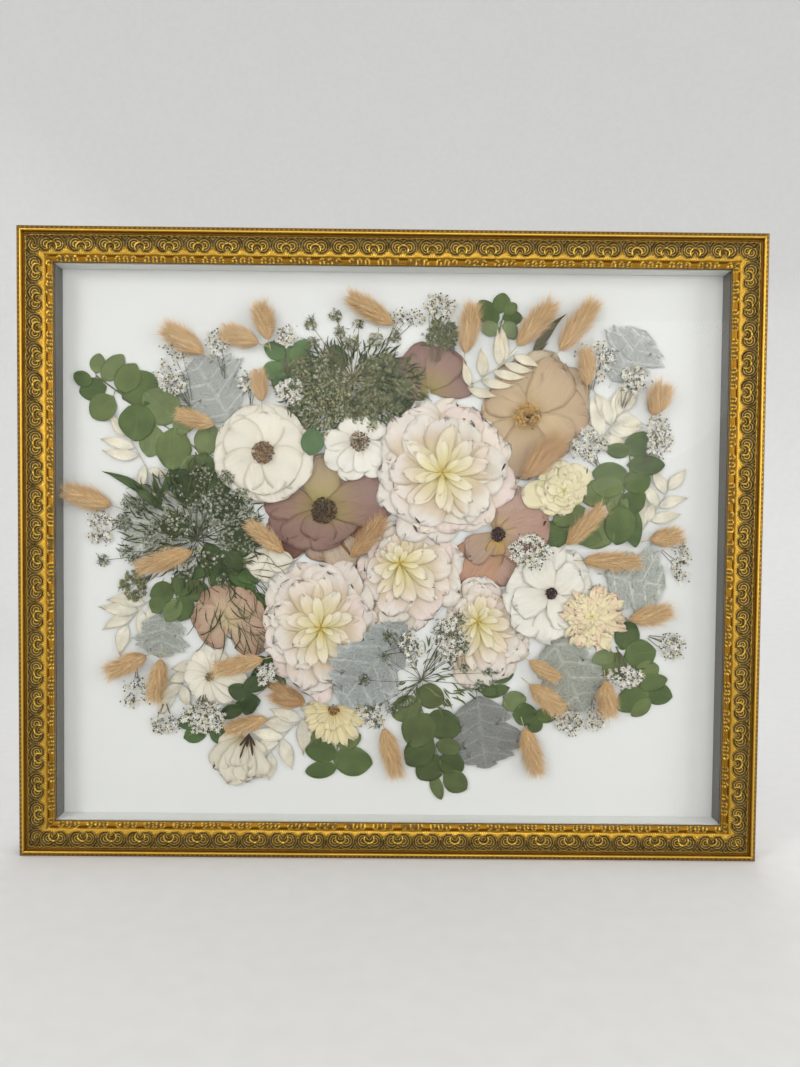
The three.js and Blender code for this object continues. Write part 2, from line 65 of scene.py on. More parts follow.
BOARD_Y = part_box("mount_board")[0].y
MIDDLE_Z = (CAD_BOX[0][2] + CAD_BOX[1][2]) / 2
FRONT_Y = CAD_BOX[0][1]
ROOM = 15.4  # how far anything may stand out of the board, just short of the glass
SOFT_STOP = 4.0  # over the last of that room, heights are pressed together instead of cut off
CLEARANCE = 0.25  # between a specimen and what it lies on
PETAL_THICK, LEAF_THICK, FELT_THICK = 0.2, 0.25, 0.3
PETAL_STEP = 0.35  # from one petal of a poppy to the next
LONGER, WIDER = 1.15, 1.17  # how much larger round leaves are drawn than they were measured
FULLER = 1.25  # how many more tiny flowers are drawn than were counted
HAIRS = 1200  # of one grass tail

# The ornament of the moulding: u runs along a motif from its middle, v inward from the outer edge.
MOTIF = 25.4  # length of one repeat
LINES = 0.32  # how far apart its arcs are, as a share of the widest
BEAD = 4.23  # from one bead of the outer row to the next
RING_V, RING_RADIUS = 18.6, 4.3
INNER_V, INNER_RADIUS = 19.6, 2.3
ARCH_U, ARCH_V, ARCH_WIDE, ARCH_HIGH = 5.0, 16.3, 6.7, 6.9


def lin(r, g, b):
    """A colour given as it looks, 0 to 255, in linear light."""
    c = np.array([r, g, b]) / 255
    return np.where(c <= 0.04045, c / 12.92, ((c + 0.055) / 1.055) ** 2.4)


# ------------------------------------------------------------------ materials
class Shader:
    """A node material on a Principled BSDF. constants are its sockets, with _ for each space."""

    def __init__(self, name, **constants):
        self.material = bpy.data.materials.new(name)
        self.material.use_nodes = True
        self.tree = self.material.node_tree
        self.bsdf = self.tree.nodes["Principled BSDF"]
        for socket, value in constants.items():
            self.bsdf.inputs[socket.replace("_", " ")].default_value = value

    def node(self, kind, inputs=None, **settings):
        """Adds a node. Its inputs are values or the sockets to link them to."""
        n = self.tree.nodes.new(kind)
        for key, value in settings.items():
            setattr(n, key, value)
        for key, value in (inputs or {}).items():
            if isinstance(value, bpy.types.NodeSocket):
                self.tree.links.new(value, n.inputs[key])
            else:
                n.inputs[key].default_value = value
        return n

    def tint(self):
        """The colours kept on the points of the mesh."""
        return self.node("ShaderNodeAttribute", attribute_name="tint").outputs["Color"]

    def uv(self, name):
        return self.node("ShaderNodeUVMap", uv_map=name).outputs["UV"]

    def split_uv(self, name):
        return self.node("ShaderNodeSeparateXYZ", {0: self.uv(name)}).outputs[:2]

    def mapped(self, source, scale):
        """The UV map named by source, or object space where it is None, times a scale or one for each axis."""
        vector = self.uv(source) if source else self.node("ShaderNodeTexCoord").outputs["Object"]
        scale = (scale,) * 3 if np.isscalar(scale) else scale
        return self.node("ShaderNodeMapping", {"Vector": vector, "Scale": scale}).outputs["Vector"]

    def noise(self, source, scale, detail, roughness=0.5):
        vector = self.mapped(source, scale)
        inputs = {"Vector": vector, "Detail": detail, "Scale": 1.0, "Roughness": roughness}
        return self.node("ShaderNodeTexNoise", inputs).outputs["Fac"]

    def edges(self, scale, randomness=1.0):
        """Distance to the borders of cells in the mm map."""
        inputs = {"Vector": self.mapped("mm", scale), "Scale": 1.0, "Randomness": randomness}
        return self.node("ShaderNodeTexVoronoi", inputs, feature="DISTANCE_TO_EDGE").outputs["Distance"]

    def calc(self, operation, *values):
        return self.node("ShaderNodeMath", dict(enumerate(values)), operation=operation).outputs[0]

    def plus(self, a, b):
        return self.calc("ADD", a, b)

    def minus(self, a, b):
        return self.calc("SUBTRACT", a, b)

    def times(self, first, *others):
        for value in others:
            first = self.calc("MULTIPLY", first, value)
        return first

    def ramp(self, factor, *stops):
        """stops are (place, colour or grey)."""
        n = self.node("ShaderNodeValToRGB", {"Fac": factor})
        elements = n.color_ramp.elements
        while len(elements) < len(stops):
            elements.new(0.5)
        for element, (place, colour) in zip(elements, stops):
            element.position = place
            grey = np.isscalar(colour)
            element.color = (*([colour] * 3 if grey else colour), 1)
        return n.outputs["Color"]

    def mix(self, factor, a, b, blend="MIX"):
        n = self.node("ShaderNodeMix", data_type="RGBA", blend_type=blend)
        for socket, value in ((n.inputs[0], factor), (n.inputs[6], a), (n.inputs[7], b)):
            if isinstance(value, bpy.types.NodeSocket):
                self.tree.links.new(value, socket)
            elif np.isscalar(value):
                socket.default_value = value
            else:
                socket.default_value = (*value, 1)
        return n.outputs[2]

    def shaded(self, a, b):
        """Colour a times colour b."""
        return self.mix(1.0, a, b, "MULTIPLY")

    def drive(self, socket, value):
        self.tree.links.new(value, self.bsdf.inputs[socket])

    def bump(self, height, distance, strength):
        inputs = {"Height": height, "Distance": distance, "Strength": strength}
        self.drive("Normal", self.node("ShaderNodeBump", inputs).outputs["Normal"])


def petal_material(name, streaks=0.10, fold=0.00012):
    s = Shader(name, Roughness=0.72, Sheen_Weight=0.15, Specular_IOR_Level=0.3)
    tint = s.tint()
    vein = s.noise("mm", (1.1, 0.07, 1), 3)
    broad = s.noise("mm", (0.22, 0.03, 1), 2)
    spots = s.noise(None, 130, 4)
    shade = s.ramp(vein, (0.3, 1 - streaks), (0.6, 1.0))
    colour = s.shaded(s.shaded(tint, shade), s.ramp(broad, (0.3, 0.93), (0.65, 1.0)))
    browned = s.shaded(tint, (0.78, 0.66, 0.52))
    s.drive("Base Color", s.mix(s.ramp(spots, (0.6, 0.0), (0.8, 0.35)), colour, browned))
    s.bump(s.plus(vein, s.times(broad, 2.5)), fold, 0.9)
    return s.material


def leaf_material(name, vein_light=1.25, roughness=0.55, gloss=0.35):
    s = Shader(name, Roughness=roughness, Specular_IOR_Level=gloss)
    tint = s.tint()
    from_side, along = s.split_uv("shape")
    across = s.calc("ABSOLUTE", s.minus(from_side, 0.5))
    middle = s.ramp(across, (0.0, 1.0), (0.035, 0.0))
    slant = s.minus(s.times(along, 7.0), s.times(across, 5.0))
    side = s.ramp(s.calc("PINGPONG", slant, 0.5), (0.0, 0.6), (0.07, 0.0))
    veins = s.calc("MAXIMUM", middle, side)
    patches = s.noise(None, 90, 4)
    fine = s.noise(None, 900, 2)
    colour = s.shaded(tint, s.ramp(patches, (0.3, 0.8), (0.7, 1.12)))
    colour = s.shaded(colour, s.ramp(fine, (0.3, 0.93), (0.7, 1.04)))
    lighter = s.shaded(colour, (vein_light,) * 3)
    s.drive("Base Color", s.mix(s.times(veins, 0.7), colour, lighter))
    s.bump(s.plus(veins, s.times(fine, 0.5)), 0.00015, 0.7)
    return s.material


def felt_material(name):
    s = Shader(name, Roughness=0.95, Sheen_Weight=0.35, Specular_IOR_Level=0.15)
    tint = s.tint()
    coarse = s.ramp(s.edges((0.24, 0.17, 1), 0.9), (0.0, 1.0), (0.10, 0.0))
    fine = s.ramp(s.edges((0.5, 0.42, 1)), (0.0, 0.5), (0.16, 0.0))
    fuzz = s.noise("mm", (3.0, 3.0, 1), 3, roughness=0.7)
    veins = s.calc("MAXIMUM", coarse, fine)
    colour = s.shaded(tint, s.ramp(fuzz, (0.3, 0.86), (0.7, 1.08)))
    white = s.shaded(tint, (1.35, 1.36, 1.36))
    s.drive("Base Color", s.mix(s.times(veins, 0.9), colour, white))
    s.bump(s.plus(s.times(veins, 1.6), fuzz), 0.0003, 0.9)
    return s.material


def fibre_material(name, roughness=0.7):
    s = Shader(name, Roughness=roughness, Sheen_Weight=0.3, Specular_IOR_Level=0.25)
    tint = s.tint()
    mottle = s.noise(None, 700, 3)
    s.drive("Base Color", s.shaded(tint, s.ramp(mottle, (0.3, 0.8), (0.7, 1.12))))
    s.bump(mottle, 0.0002, 0.5)
    return s.material


def gilt_material():
    """Gold leaf, with a painted highlight on the ridges and the fine lines, and umber patina and painted shade
    in the hollows.
    The fine lines of the ornament are drawn here: mm holds the place along the rail in motifs and the place
    inward in mm, and tint holds how hollow it is and how much painted highlight it gets."""
    s = Shader("gilt", Roughness=0.3)
    motifs, v = s.split_uv("mm")
    u = s.times(s.calc("PINGPONG", motifs, 0.5), MOTIF)

    def distance(x, y):
        return s.calc("SQRT", s.plus(s.times(x, x), s.times(y, y)))

    def scaled(value, offset, size):
        return s.calc("DIVIDE", s.minus(value, offset), size)

    def off(value, wanted):
        return s.calc("ABSOLUTE", s.minus(value, wanted))

    arch = distance(scaled(u, ARCH_U, ARCH_WIDE), scaled(v, ARCH_V, ARCH_HIGH))
    from_ring = distance(u, s.minus(v, RING_V))
    stripes = s.times(s.calc("PINGPONG", s.minus(arch, 1.0), LINES / 2), 2 / LINES)
    arcs = s.times(s.ramp(stripes, (0.2, 1.0), (0.55, 0.0)), s.calc("GREATER_THAN", from_ring, 5.2),
                   s.calc("LESS_THAN", v, 23.5), s.ramp(arch, (0.5, 0.85), (0.95, 0.62)))
    ring = s.times(s.ramp(off(from_ring, RING_RADIUS), (0.5, 1.0), (1.0, 0.0)),
                   s.ramp(scaled(v, 20.0, 3.5), (0.0, 1.0), (1.0, 0.0)))
    from_inner = distance(u, s.minus(v, INNER_V))
    inner = s.times(s.ramp(off(from_inner, INNER_RADIUS), (0.25, 0.8), (0.5, 0.0)),
                    s.calc("LESS_THAN", v, 20.4))
    claw = s.calc("DIVIDE", u, s.plus(0.15, s.times(s.minus(v, 18.4), 0.137)))
    claws = s.times(s.ramp(s.calc("PINGPONG", s.plus(claw, 0.9), 0.9), (0.25, 1.0), (0.5, 0.0)),
                    s.calc("LESS_THAN", claw, 3.2), s.calc("GREATER_THAN", v, 19.2))
    lines = s.calc("MAXIMUM", s.calc("MAXIMUM", arcs, ring), s.calc("MAXIMUM", inner, claws))
    lines = s.times(lines, s.calc("GREATER_THAN", v, 9.2), s.calc("LESS_THAN", v, 25.0))

    parts = s.node("ShaderNodeSeparateColor", {0: s.tint()})
    grime = s.noise(None, 260, 3, roughness=0.6)
    cloud = s.noise(None, 28, 1)
    # depth darkens the gold to umber: patina and painted shade in the hollows, less on the fine lines.
    depth = s.plus(parts.outputs[0], s.times(s.minus(grime, 0.5), 0.4))
    depth = s.times(depth, s.minus(1.0, s.times(lines, 0.85)))
    gold = s.mix(cloud, lin(152, 108, 22), lin(115, 77, 11))
    # Painted highlight: the gold turns brighter on the ridges and on the fine lines.
    gold = s.mix(s.calc("MAXIMUM", parts.outputs[1], s.times(lines, 0.75)), gold, lin(228, 187, 76))
    patina_and_shade = s.mix(grime, lin(94, 78, 34), lin(42, 30, 9))
    s.drive("Base Color", s.mix(s.ramp(depth, (0.2, 0.0), (0.75, 1.0)), gold, patina_and_shade))
    s.drive("Metallic", s.ramp(depth, (0.35, 0.85), (0.8, 0.3)))
    rough = s.plus(s.times(grime, 0.2), 0.24)
    s.drive("Roughness", s.plus(rough, s.times(s.calc("MAXIMUM", depth, 0.0), 0.35)))
    s.bump(s.plus(s.times(lines, 1.5), grime), 0.0004, 0.5)
    return s.material


def plain_material(name, colour, roughness, scale, spread=0.06, bump=0.0001, detail=2, source=None,
                   **constants):
    """A board, paper, felt or painted surface with a fine grain. scale is in cells per metre on each axis, or
    per unit of the UV map named by source."""
    s = Shader(name, Roughness=roughness, **constants)
    grain = s.noise(source, scale, detail, roughness=0.65)
    cloud = s.noise(None, 9, 0)
    low = np.array(colour) * (1 - spread)
    shade = s.mix(s.ramp(grain, (0.3, 0.0), (0.7, 1.0)), low, np.array(colour))
    s.drive("Base Color", s.shaded(shade, s.ramp(cloud, (0.3, 1 - spread / 3), (0.7, 1.0))))
    if bump:
        s.bump(grain, bump, 0.5)
    return s.material


def glass_material():
    """Clear glass. It mirrors more at a slant, by the same rule on both faces, so that no light is trapped in
    the pane."""
    s = Shader("picture_glass")
    s.tree.nodes.remove(s.bsdf)
    clear = s.node("ShaderNodeBsdfTransparent", {"Color": (0.945, 0.951, 0.947, 1)})
    gloss = s.node("ShaderNodeBsdfGlossy", {"Roughness": 0.02})
    slant = s.node("ShaderNodeLayerWeight", {"Blend": 0.5}).outputs["Facing"]
    mirror = s.calc("MULTIPLY_ADD", s.calc("POWER", slant, 5), 0.6, 0.006)
    pane = s.node("ShaderNodeMixShader", {0: mirror, 1: clear.outputs[0], 2: gloss.outputs[0]})
    s.tree.links.new(pane.outputs[0], s.tree.nodes["Material Output"].inputs["Surface"])
    return s.material


PETAL = petal_material("petal")
CREPE = petal_material("crepe_petal", streaks=0.2, fold=0.0003)
LEAF = leaf_material("leaf")
BLEACHED = leaf_material("bleached_leaf", vein_light=0.86, roughness=0.7, gloss=0.2)
FELT = felt_material("felt_leaf")
FIBRE = fibre_material("fibre")
FUR = fibre_material("fur", 0.6)
GILT = gilt_material()
MATERIALS = [PETAL, CREPE, LEAF, BLEACHED, FELT, FIBRE, FUR]
INDEX = {m: i for i, m in enumerate(MATERIALS)}


# ------------------------------------------------------------------ meshes
class Mesh:
    """Points, faces, tints and two UV maps of one piece, gathered before it becomes an object."""

    def __init__(self):
        self.points, self.tints, self.mm, self.shape = [], [], [], []
        self.faces, self.slots, self.count = [], [], 0

    def add(self, points, faces, tint, material, mm=None, shape=None):
        """points (n, 3), faces (m, 3) or (m, 4), tint one colour or (n, 3)."""
        n = len(points)
        self.points.append(np.asarray(points, float))
        self.tints.append(np.broadcast_to(np.asarray(tint, float), (n, 3)))
        self.mm.append(np.asarray(points, float)[:, :2] if mm is None else mm)
        self.shape.append(np.full((n, 2), 0.5) if shape is None else shape)
        self.faces.append(np.asarray(faces) + self.count)
        self.slots.append(np.full(len(faces), INDEX[material]))
        self.count += n

    def also(self, faces, material, points):
        """More faces on the last so many points."""
        self.faces.append(np.asarray(faces) + self.count - points)
        self.slots.append(np.full(len(faces), INDEX[material]))

    def grid(self, points, tint, material, mm=None, shape=None):
        """points (rows, columns, 3)."""
        rows, columns = points.shape[:2]
        i = np.arange(rows * columns).reshape(rows, columns)
        quads = np.stack([i[:-1, :-1], i[:-1, 1:], i[1:, 1:], i[1:, :-1]], -1).reshape(-1, 4)
        flat = lambda a, k: None if a is None else np.asarray(a).reshape(-1, k)
        tint = np.asarray(tint, float)
        tint = tint.reshape(-1, 3) if tint.ndim > 1 else tint
        self.add(points.reshape(-1, 3), quads, tint, material, flat(mm, 2), flat(shape, 2))

    def copies(self, points, faces, spots, scales, turns, lean, tints, material):
        """A small shape repeated at spots (n, 3), each turned about z and leaning off it."""
        n, k = len(spots), len(points)
        c, s = np.cos(turns), np.sin(turns)
        p = np.broadcast_to(points, (n, k, 3)) * np.reshape(scales, (n, 1, 1))
        a, b = np.cos(lean)[:, None], np.sin(lean)[:, None]
        p = np.stack([p[..., 0] * a + p[..., 2] * b, p[..., 1], p[..., 2] * a - p[..., 0] * b], -1)
        x = p[..., 0] * c[:, None] - p[..., 1] * s[:, None]
        y = p[..., 0] * s[:, None] + p[..., 1] * c[:, None]
        p = np.stack([x, y, p[..., 2]], -1) + np.asarray(spots)[:, None]
        f = (np.asarray(faces)[None] + (np.arange(n) * k)[:, None, None]).reshape(-1, len(faces[0]))
        self.add(p.reshape(-1, 3), f, np.repeat(tints, k, 0), material)


class Ground:
    """How high the board is already covered, in cells of 1 mm."""

    LOW = np.array([-312, -262])
    BLUR = 2

    def __init__(self):
        self.top = np.zeros(-2 * self.LOW)

    def under(self, xy, reach):
        """Height of what lies under each point, spread and smoothed so that a piece can bend over it."""
        cell = np.clip(xy - self.LOW, 8, np.array(self.top.shape) - 10)
        low = np.maximum(np.floor(cell.min(0)).astype(int) - 8, 0)
        high = np.ceil(cell.max(0)).astype(int) + 9
        h = self.top[low[0] : high[0], low[1] : high[1]]
        for axis in (0, 1):
            h = np.max([np.roll(h, k, axis) for k in range(-reach, reach + 1)], 0)
        for axis in (0, 1, 0, 1):
            h = np.mean([np.roll(h, k, axis) for k in range(-self.BLUR, self.BLUR + 1)], 0)
        c = cell - low
        i, j = np.clip(c.astype(int), 0, np.array(h.shape) - 2).T
        f, g = (c - np.stack([i, j], -1)).T
        return (
            h[i, j] * (1 - f) * (1 - g)
            + h[i + 1, j] * f * (1 - g)
            + h[i, j + 1] * (1 - f) * g
            + h[i + 1, j + 1] * f * g
        )

    def cover(self, points, faces):
        """Raises the heights to those of the faces, sampled at 25 points of each."""
        p = points[faces[:, [0, 1, 2, -1]]]
        for a in np.linspace(0, 1, 5):
            for b in np.linspace(0, 1, 5):
                q = (p[:, 0] * (1 - a) + p[:, 1] * a) * (1 - b) + (p[:, 3] * (1 - a) + p[:, 2] * a) * b
                i = np.clip((q[:, :2] - self.LOW).astype(int), 0, np.array(self.top.shape) - 1)
                np.maximum.at(self.top, (i[:, 0], i[:, 1]), q[:, 2])


ground = Ground()


def build(name, mesh, world, replaces=(), thickness=0.0):
    """Makes the Blender object of a mesh whose points are given in metres."""
    sizes = np.concatenate([np.full(len(f), f.shape[1]) for f in mesh.faces])
    loops = np.concatenate([f.ravel() for f in mesh.faces])
    data = bpy.data.meshes.new(name)
    data.vertices.add(len(world))
    data.vertices.foreach_set("co", world.astype(np.float32).ravel())
    data.loops.add(len(loops))
    data.loops.foreach_set("vertex_index", loops.astype(np.int32))
    data.polygons.add(len(sizes))
    data.polygons.foreach_set("loop_start", (np.cumsum(sizes) - sizes).astype(np.int32))
    data.polygons.foreach_set("loop_total", sizes.astype(np.int32))
    slots = np.concatenate(mesh.slots)
    used = np.unique(slots)
    for i in used:
        data.materials.append(MATERIALS[i])
    data.polygons.foreach_set("material_index", np.searchsorted(used, slots).astype(np.int32))
    data.polygons.foreach_set("use_smooth", np.ones(len(sizes), bool))
    tint = data.attributes.new("tint", "FLOAT_COLOR", "POINT")
    tints = np.concatenate(mesh.tints)
    tint.data.foreach_set("color", np.c_[tints, np.ones(len(tints))].astype(np.float32).ravel())
    for key in ("mm", "shape"):
        uv = data.uv_layers.new(name=key)
        uv.data.foreach_set("uv", np.concatenate(getattr(mesh, key))[loops].astype(np.float32).ravel())
    data.update()
    data.validate()
    obj = bpy.data.objects.new(name, data)
    bpy.context.scene.collection.objects.link(obj)
    if thickness:
        solid = obj.modifiers.new("thickness", "SOLIDIFY")
        solid.thickness = thickness / 1000
        solid.offset = -1
    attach(obj, "root")
    if replaces:
        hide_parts(*replaces)
    return obj


def lay(name, mesh, replaces=(), thickness=0.0, reach=3, cover=True):
    """Lays a specimen on whatever is under it and makes its object. Later ones lie on it where it covers."""
    p = np.concatenate(mesh.points)
    z = p[:, 2] + ground.under(p[:, :2], reach) + CLEARANCE + thickness
    soft = ROOM - SOFT_STOP
    p[:, 2] = np.where(z > soft, soft + (ROOM - soft) * (1 - np.exp(-(z - soft) / (ROOM - soft))), z)
    if cover:
        for f in mesh.faces:
            ground.cover(p, f)
    world = np.stack([p[:, 0] / 1000, BOARD_Y - p[:, 2] / 1000, MIDDLE_Z + p[:, 1] / 1000], -1)
    build(name, mesh, world, replaces, thickness)


# ------------------------------------------------------------------ gilded moulding
WIDTH = (CAD_BOX[1][0] - CAD_BOX[0][0]) * 1000
HEIGHT = (CAD_BOX[1][2] - CAD_BOX[0][2]) * 1000
MITRE = 0.05  # half the seam between two rails
PROFILE = np.array([  # inward from the outer edge, depth behind the front; the ornament stands on it
    [0, 4.2], [0.3, 3.0], [0.8, 2.5], [1.4, 2.3], [2.1, 2.1], [2.8, 1.9], [3.1, 1.2], [3.7, 0.35], [4.4, 0.05],
    [5.1, 0.35], [5.6, 1.0], [5.8, 1.9], [6.4, 2.8], [7.0, 3.1], [7.6, 2.7], [8.0, 2.1], [8.3, 1.5], [8.7, 1.3],
    [9.1, 1.7], [9.5, 2.5], [10.0, 2.8], [13.0, 2.5], [18.0, 2.6], [22.0, 3.1], [24.3, 3.6], [25.4, 3.5],
    [25.9, 3.7], [28.0, 3.4], [30.6, 4.2], [31.4, 4.7], [31.75, 5.3]])
BACK = np.array([[31.75, 6.0], [25.4, 6.0], [25.4, 38.1], [0, 38.1], [0, 26], [0, 14]])
ROW, COLUMN = 0.9, 1.25  # spacing of the points across and along a rail


def ridge(offset, half_width):
    """A rounded ridge, 1 on its line and 0 beyond its half width."""
    return np.clip(1 - (offset / half_width) ** 2, 0, 1)


def step(value, start, end):
    """Smoothly from 0 at start to 1 at end."""
    t = np.clip((value - start) / (end - start), 0, 1)
    return t * t * (3 - 2 * t)


def ornament(u, v):
    """Height of the ornament, how far it is hollow, where the gilt gets umber patina and painted shade, and how
    much painted highlight it gets, both 0 to 1.
    """
    half = MOTIF / 2
    a = np.abs(u)
    from_ring = np.hypot(u, v - RING_V)
    turn = np.abs(np.arctan2(u, RING_V - v))
    ring = ridge(from_ring - RING_RADIUS, 0.6 + 0.85 * np.sin(turn) ** 2) * (1 - step(turn, 2.2, 2.7))
    inner = ridge(np.hypot(u, v - INNER_V) - INNER_RADIUS, 0.5) * (1 - step(turn, 1.6, 2.1))
    claws = np.zeros_like(u)
    for k in (-2.7, -0.9, 0.9, 2.7):
        line = u - k * (0.15 + 0.85 * (v - 18.4) / 6.2)
        claws = np.maximum(claws, ridge(line, 0.42) * step(v, 18.2, 19.2) * (1 - step(v, 24.6, 25.2)))
    # arches round both sides of each ring: a main one, one inside it and two outside
    arch = np.hypot((a - ARCH_U) / ARCH_WIDE, (v - ARCH_V) / ARCH_HIGH)
    lines = ridge(arch - 1.0, 0.11)
    for k, high in ((-1, 0.7), (1, 0.8), (2, 0.6)):
        lines = np.maximum(lines, high * ridge(arch - 1 - k * LINES, 0.09) * (from_ring > 5.3 if k < 0 else 1))
    cusp = 0.85 * step(arch, 1.02, 1.12) * (1 - step(v, 24.2, 25.2))
    cusp = cusp * step(v, 19.5 - 0.35 * (np.maximum(a, 6) - 8), 21.5)
    point = 0.95 * ridge(half - a, 1.0) * step(v, 15.0, 20.0) * (v < 22.0)
    border = 0.8 * ridge(v - 24.8 - 0.3 * np.cos(2 * np.pi * u / MOTIF), 0.6)
    w = half - a
    loops = np.zeros_like(u)
    for c in (0.0, 7.0):
        leg = ridge(np.abs(w - c) - 1.6, 0.5) * step(v, 27.4, 27.8) * (1 - step(v, 31.0, 31.5))
        bow = ridge(np.hypot(w - c, v - 27.8) - 1.6, 0.5) * (v <= 27.8)
        loops = np.maximum(loops, 0.75 * np.maximum(leg, bow))
    bar = 0.4 * (1 - step(a, 3.1, 3.9)) * step(v, 26.4, 27.2) * (1 - step(v, 30.4, 31.0))
    field = step(v, 8.6, 9.2) * (1 - step(v, 25.0, 25.6))
    lines *= field
    height = np.max([1.35 * ring, 0.8 * inner, claws, lines, cusp, point, border, loops, bar], axis=0)
    solid = np.max([cusp, point, border], axis=0)
    # hollow is where the gilt turns dark umber, patina and painted shade together: the ornament's field, the
    # low inner band, the cove and the gaps between the beads.
    hollow = field * (1 - step(solid, 0.25, 0.7))
    hollow = np.maximum(hollow, 0.55 * step(v, 25.6, 26.2) * (1 - step(height, 0.15, 0.5)))
    hollow = np.maximum(hollow, 0.5 * ridge(v - 6.7, 1.5))
    beads = ridge(((u + half) % BEAD) - 2.1, 1.1) * ridge(v - 2.2, 1.0)
    hollow = np.maximum(hollow, 0.6 * (1 - beads) * step(v, 1.0, 1.5) * (1 - step(v, 2.9, 3.3)))
    # Painted highlight on the outer ridge, the beads, the ornament's ridges, the loops and the inner edge.
    painted_highlight = np.max([0.9 * ridge(v - 4.4, 0.9), 0.5 * beads, 0.7 * ridge(v - 8.7, 0.5),
                     0.45 * step(solid, 0.5, 0.9), 0.8 * step(loops, 0.2, 0.6), 0.5 * ridge(v - 30.9, 0.5)],
                    axis=0)
    return 1.6 * height + 0.3 * beads, np.clip(hollow, 0, 1), painted_highlight


def rail(name, length, first, pitch, place):
    """A mitred rail. first is the middle of its first motif, and place gives x and z from along and inward."""
    fine = np.arange(9.5, 31.5, ROW)  # over the ornament, between the points of the profile
    fine = fine[np.min(np.abs(fine[:, None] - PROFILE[:, 0]), 1) > 0.2]
    rows = np.unique(np.concatenate([PROFILE[:, 0], fine]))
    columns = int(length / COLUMN)
    share = np.linspace(0, 1, columns)[None]

    def spread(inward):
        return inward + MITRE + (length - 2 * inward - 2 * MITRE) * share

    v = rows[:, None] + np.zeros_like(share)
    u = ((spread(v) - first) / pitch + 0.5) % 1.0 - 0.5
    height, hollow, painted_highlight = ornament(u * MOTIF, v)
    depth = np.maximum(np.interp(v, *PROFILE.T) - height, 0.0)
    edge, behind = BACK.T[..., None] + np.zeros_like(share)
    points = np.concatenate([np.stack([spread(v), v, depth], -1), np.stack([spread(edge), edge, behind], -1)])
    # tint: red is how hollow, for umber patina and painted shade; green is the painted highlight.
    dull = np.concatenate([hollow, np.full(edge.shape, 0.5)])
    painted_highlight = np.concatenate([painted_highlight, np.zeros(edge.shape)])
    tint = np.stack([dull, painted_highlight, 0 * dull], -1).reshape(-1, 3)
    r, n = len(rows), len(points)
    i = np.arange(n * columns).reshape(n, columns)
    i = np.concatenate([i, i[:1]])
    quads = np.stack([i[:-1, :-1], i[:-1, 1:], i[1:, 1:], i[1:, :-1]], -1)
    points = points.reshape(-1, 3)
    mm = np.stack([(points[:, 0] - first) / pitch, points[:, 1]], -1)
    mesh = Mesh()
    mesh.add(points, quads[: r - 1].reshape(-1, 4), tint, GILT, mm)
    mesh.also(quads[r + 3 :].reshape(-1, 4), GILT, len(points))  # the outer side is gilded too
    mesh.also(quads[r - 1 : r + 3].reshape(-1, 4), RAW_WOOD, len(points))
    for end in (i[:-1, 0], i[:-1, -1][::-1]):
        mesh.also(end[None], RAW_WOOD, len(points))
    x, z = place(points[:, 0], points[:, 1])
    world = np.stack([x / 1000, FRONT_Y + points[:, 2] / 1000, z / 1000], -1)
    obj = build(name, mesh, world, [name.replace("gilded", "moulding")])
    obj.data.set_sharp_from_angle(angle=math.radians(70))


RAW_WOOD = plain_material("raw_wood", lin(176, 140, 98), 0.75, (0.46, 0.26, 1), 0.25, 0.0002, source="mm")
for m in (GILT, RAW_WOOD):
    INDEX[m] = len(MATERIALS)
    MATERIALS.append(m)

LEFT_END, RIGHT_END = 31.6, 40.2  # from the ends of the top and bottom rails to their outermost motifs
LEVEL_PITCH = (WIDTH - LEFT_END - RIGHT_END) / 23
SIDE_END = 1.5 * MOTIF
rail("gilded_bottom", WIDTH, LEFT_END, LEVEL_PITCH, lambda a, v: (a - WIDTH / 2, v))
rail("gilded_top", WIDTH, WIDTH - LEFT_END, LEVEL_PITCH, lambda a, v: (WIDTH / 2 - a, HEIGHT - v))
rail("gilded_left", HEIGHT, SIDE_END, MOTIF, lambda a, v: (v - WIDTH / 2, HEIGHT - a))
rail("gilded_right", HEIGHT, SIDE_END, MOTIF, lambda a, v: (WIDTH / 2 - v, a))

PAPER_GRAIN = 700
CAD_LOOKS = {
    "glass_pane": glass_material(),
    "mount_board": plain_material("white_board", lin(241, 240, 238), 0.85, PAPER_GRAIN, 0.02),
    "back_board": plain_material("brown_hardboard", lin(126, 92, 62), 0.7, 900, 0.3, 0.0003),
    # The four spacers are one white board: top and bottom are that white a little brighter than the mount
    # board, as painted light, and left and right are grey, as painted shade.
    "spacer_top": plain_material("spacer_painted_light", lin(246, 246, 243), 0.85, PAPER_GRAIN),
    "spacer_left": plain_material("spacer_painted_shade", lin(126, 124, 120), 0.85, PAPER_GRAIN),
    "hanger_left": plain_material("zinc", lin(196, 200, 204), 0.35, (90, 900, 900), 0.18, 0.00005,
                                  Metallic=1.0),
    "bumper_left": plain_material("soft_pad", lin(62, 60, 58), 0.92, 1500, 0.3, 0.0003),
}
SAME_LOOK = {"spacer_bottom": "spacer_top", "spacer_right": "spacer_left", "hanger_right": "hanger_left",
             "bumper_right": "bumper_left"}
for node in [*CAD_LOOKS, *SAME_LOOK]:
    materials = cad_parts[node].data.materials
    look = CAD_LOOKS[SAME_LOOK.get(node, node)]
    if materials:
        materials[0] = look
    else:
        materials.append(look)


# ------------------------------------------------------------------ petals, leaves, stems and florets
def spline(points, count):
    """Points spread along a smooth curve through the given ones."""
    p = np.array(points, float)
    p = np.concatenate([[2 * p[0] - p[1]], p, [2 * p[-1] - p[-2]]])
    t = np.linspace(0, len(points) - 1 - 1e-9, count)
    i = t.astype(int)
    f = (t - i)[:, None]
    a, b, c, d = p[i], p[i + 1], p[i + 2], p[i + 3]
    return 0.5 * (2 * b + (c - a) * f + (2 * a - 5 * b + 4 * c - d) * f**2 + (3 * b - a - 3 * c + d) * f**3)


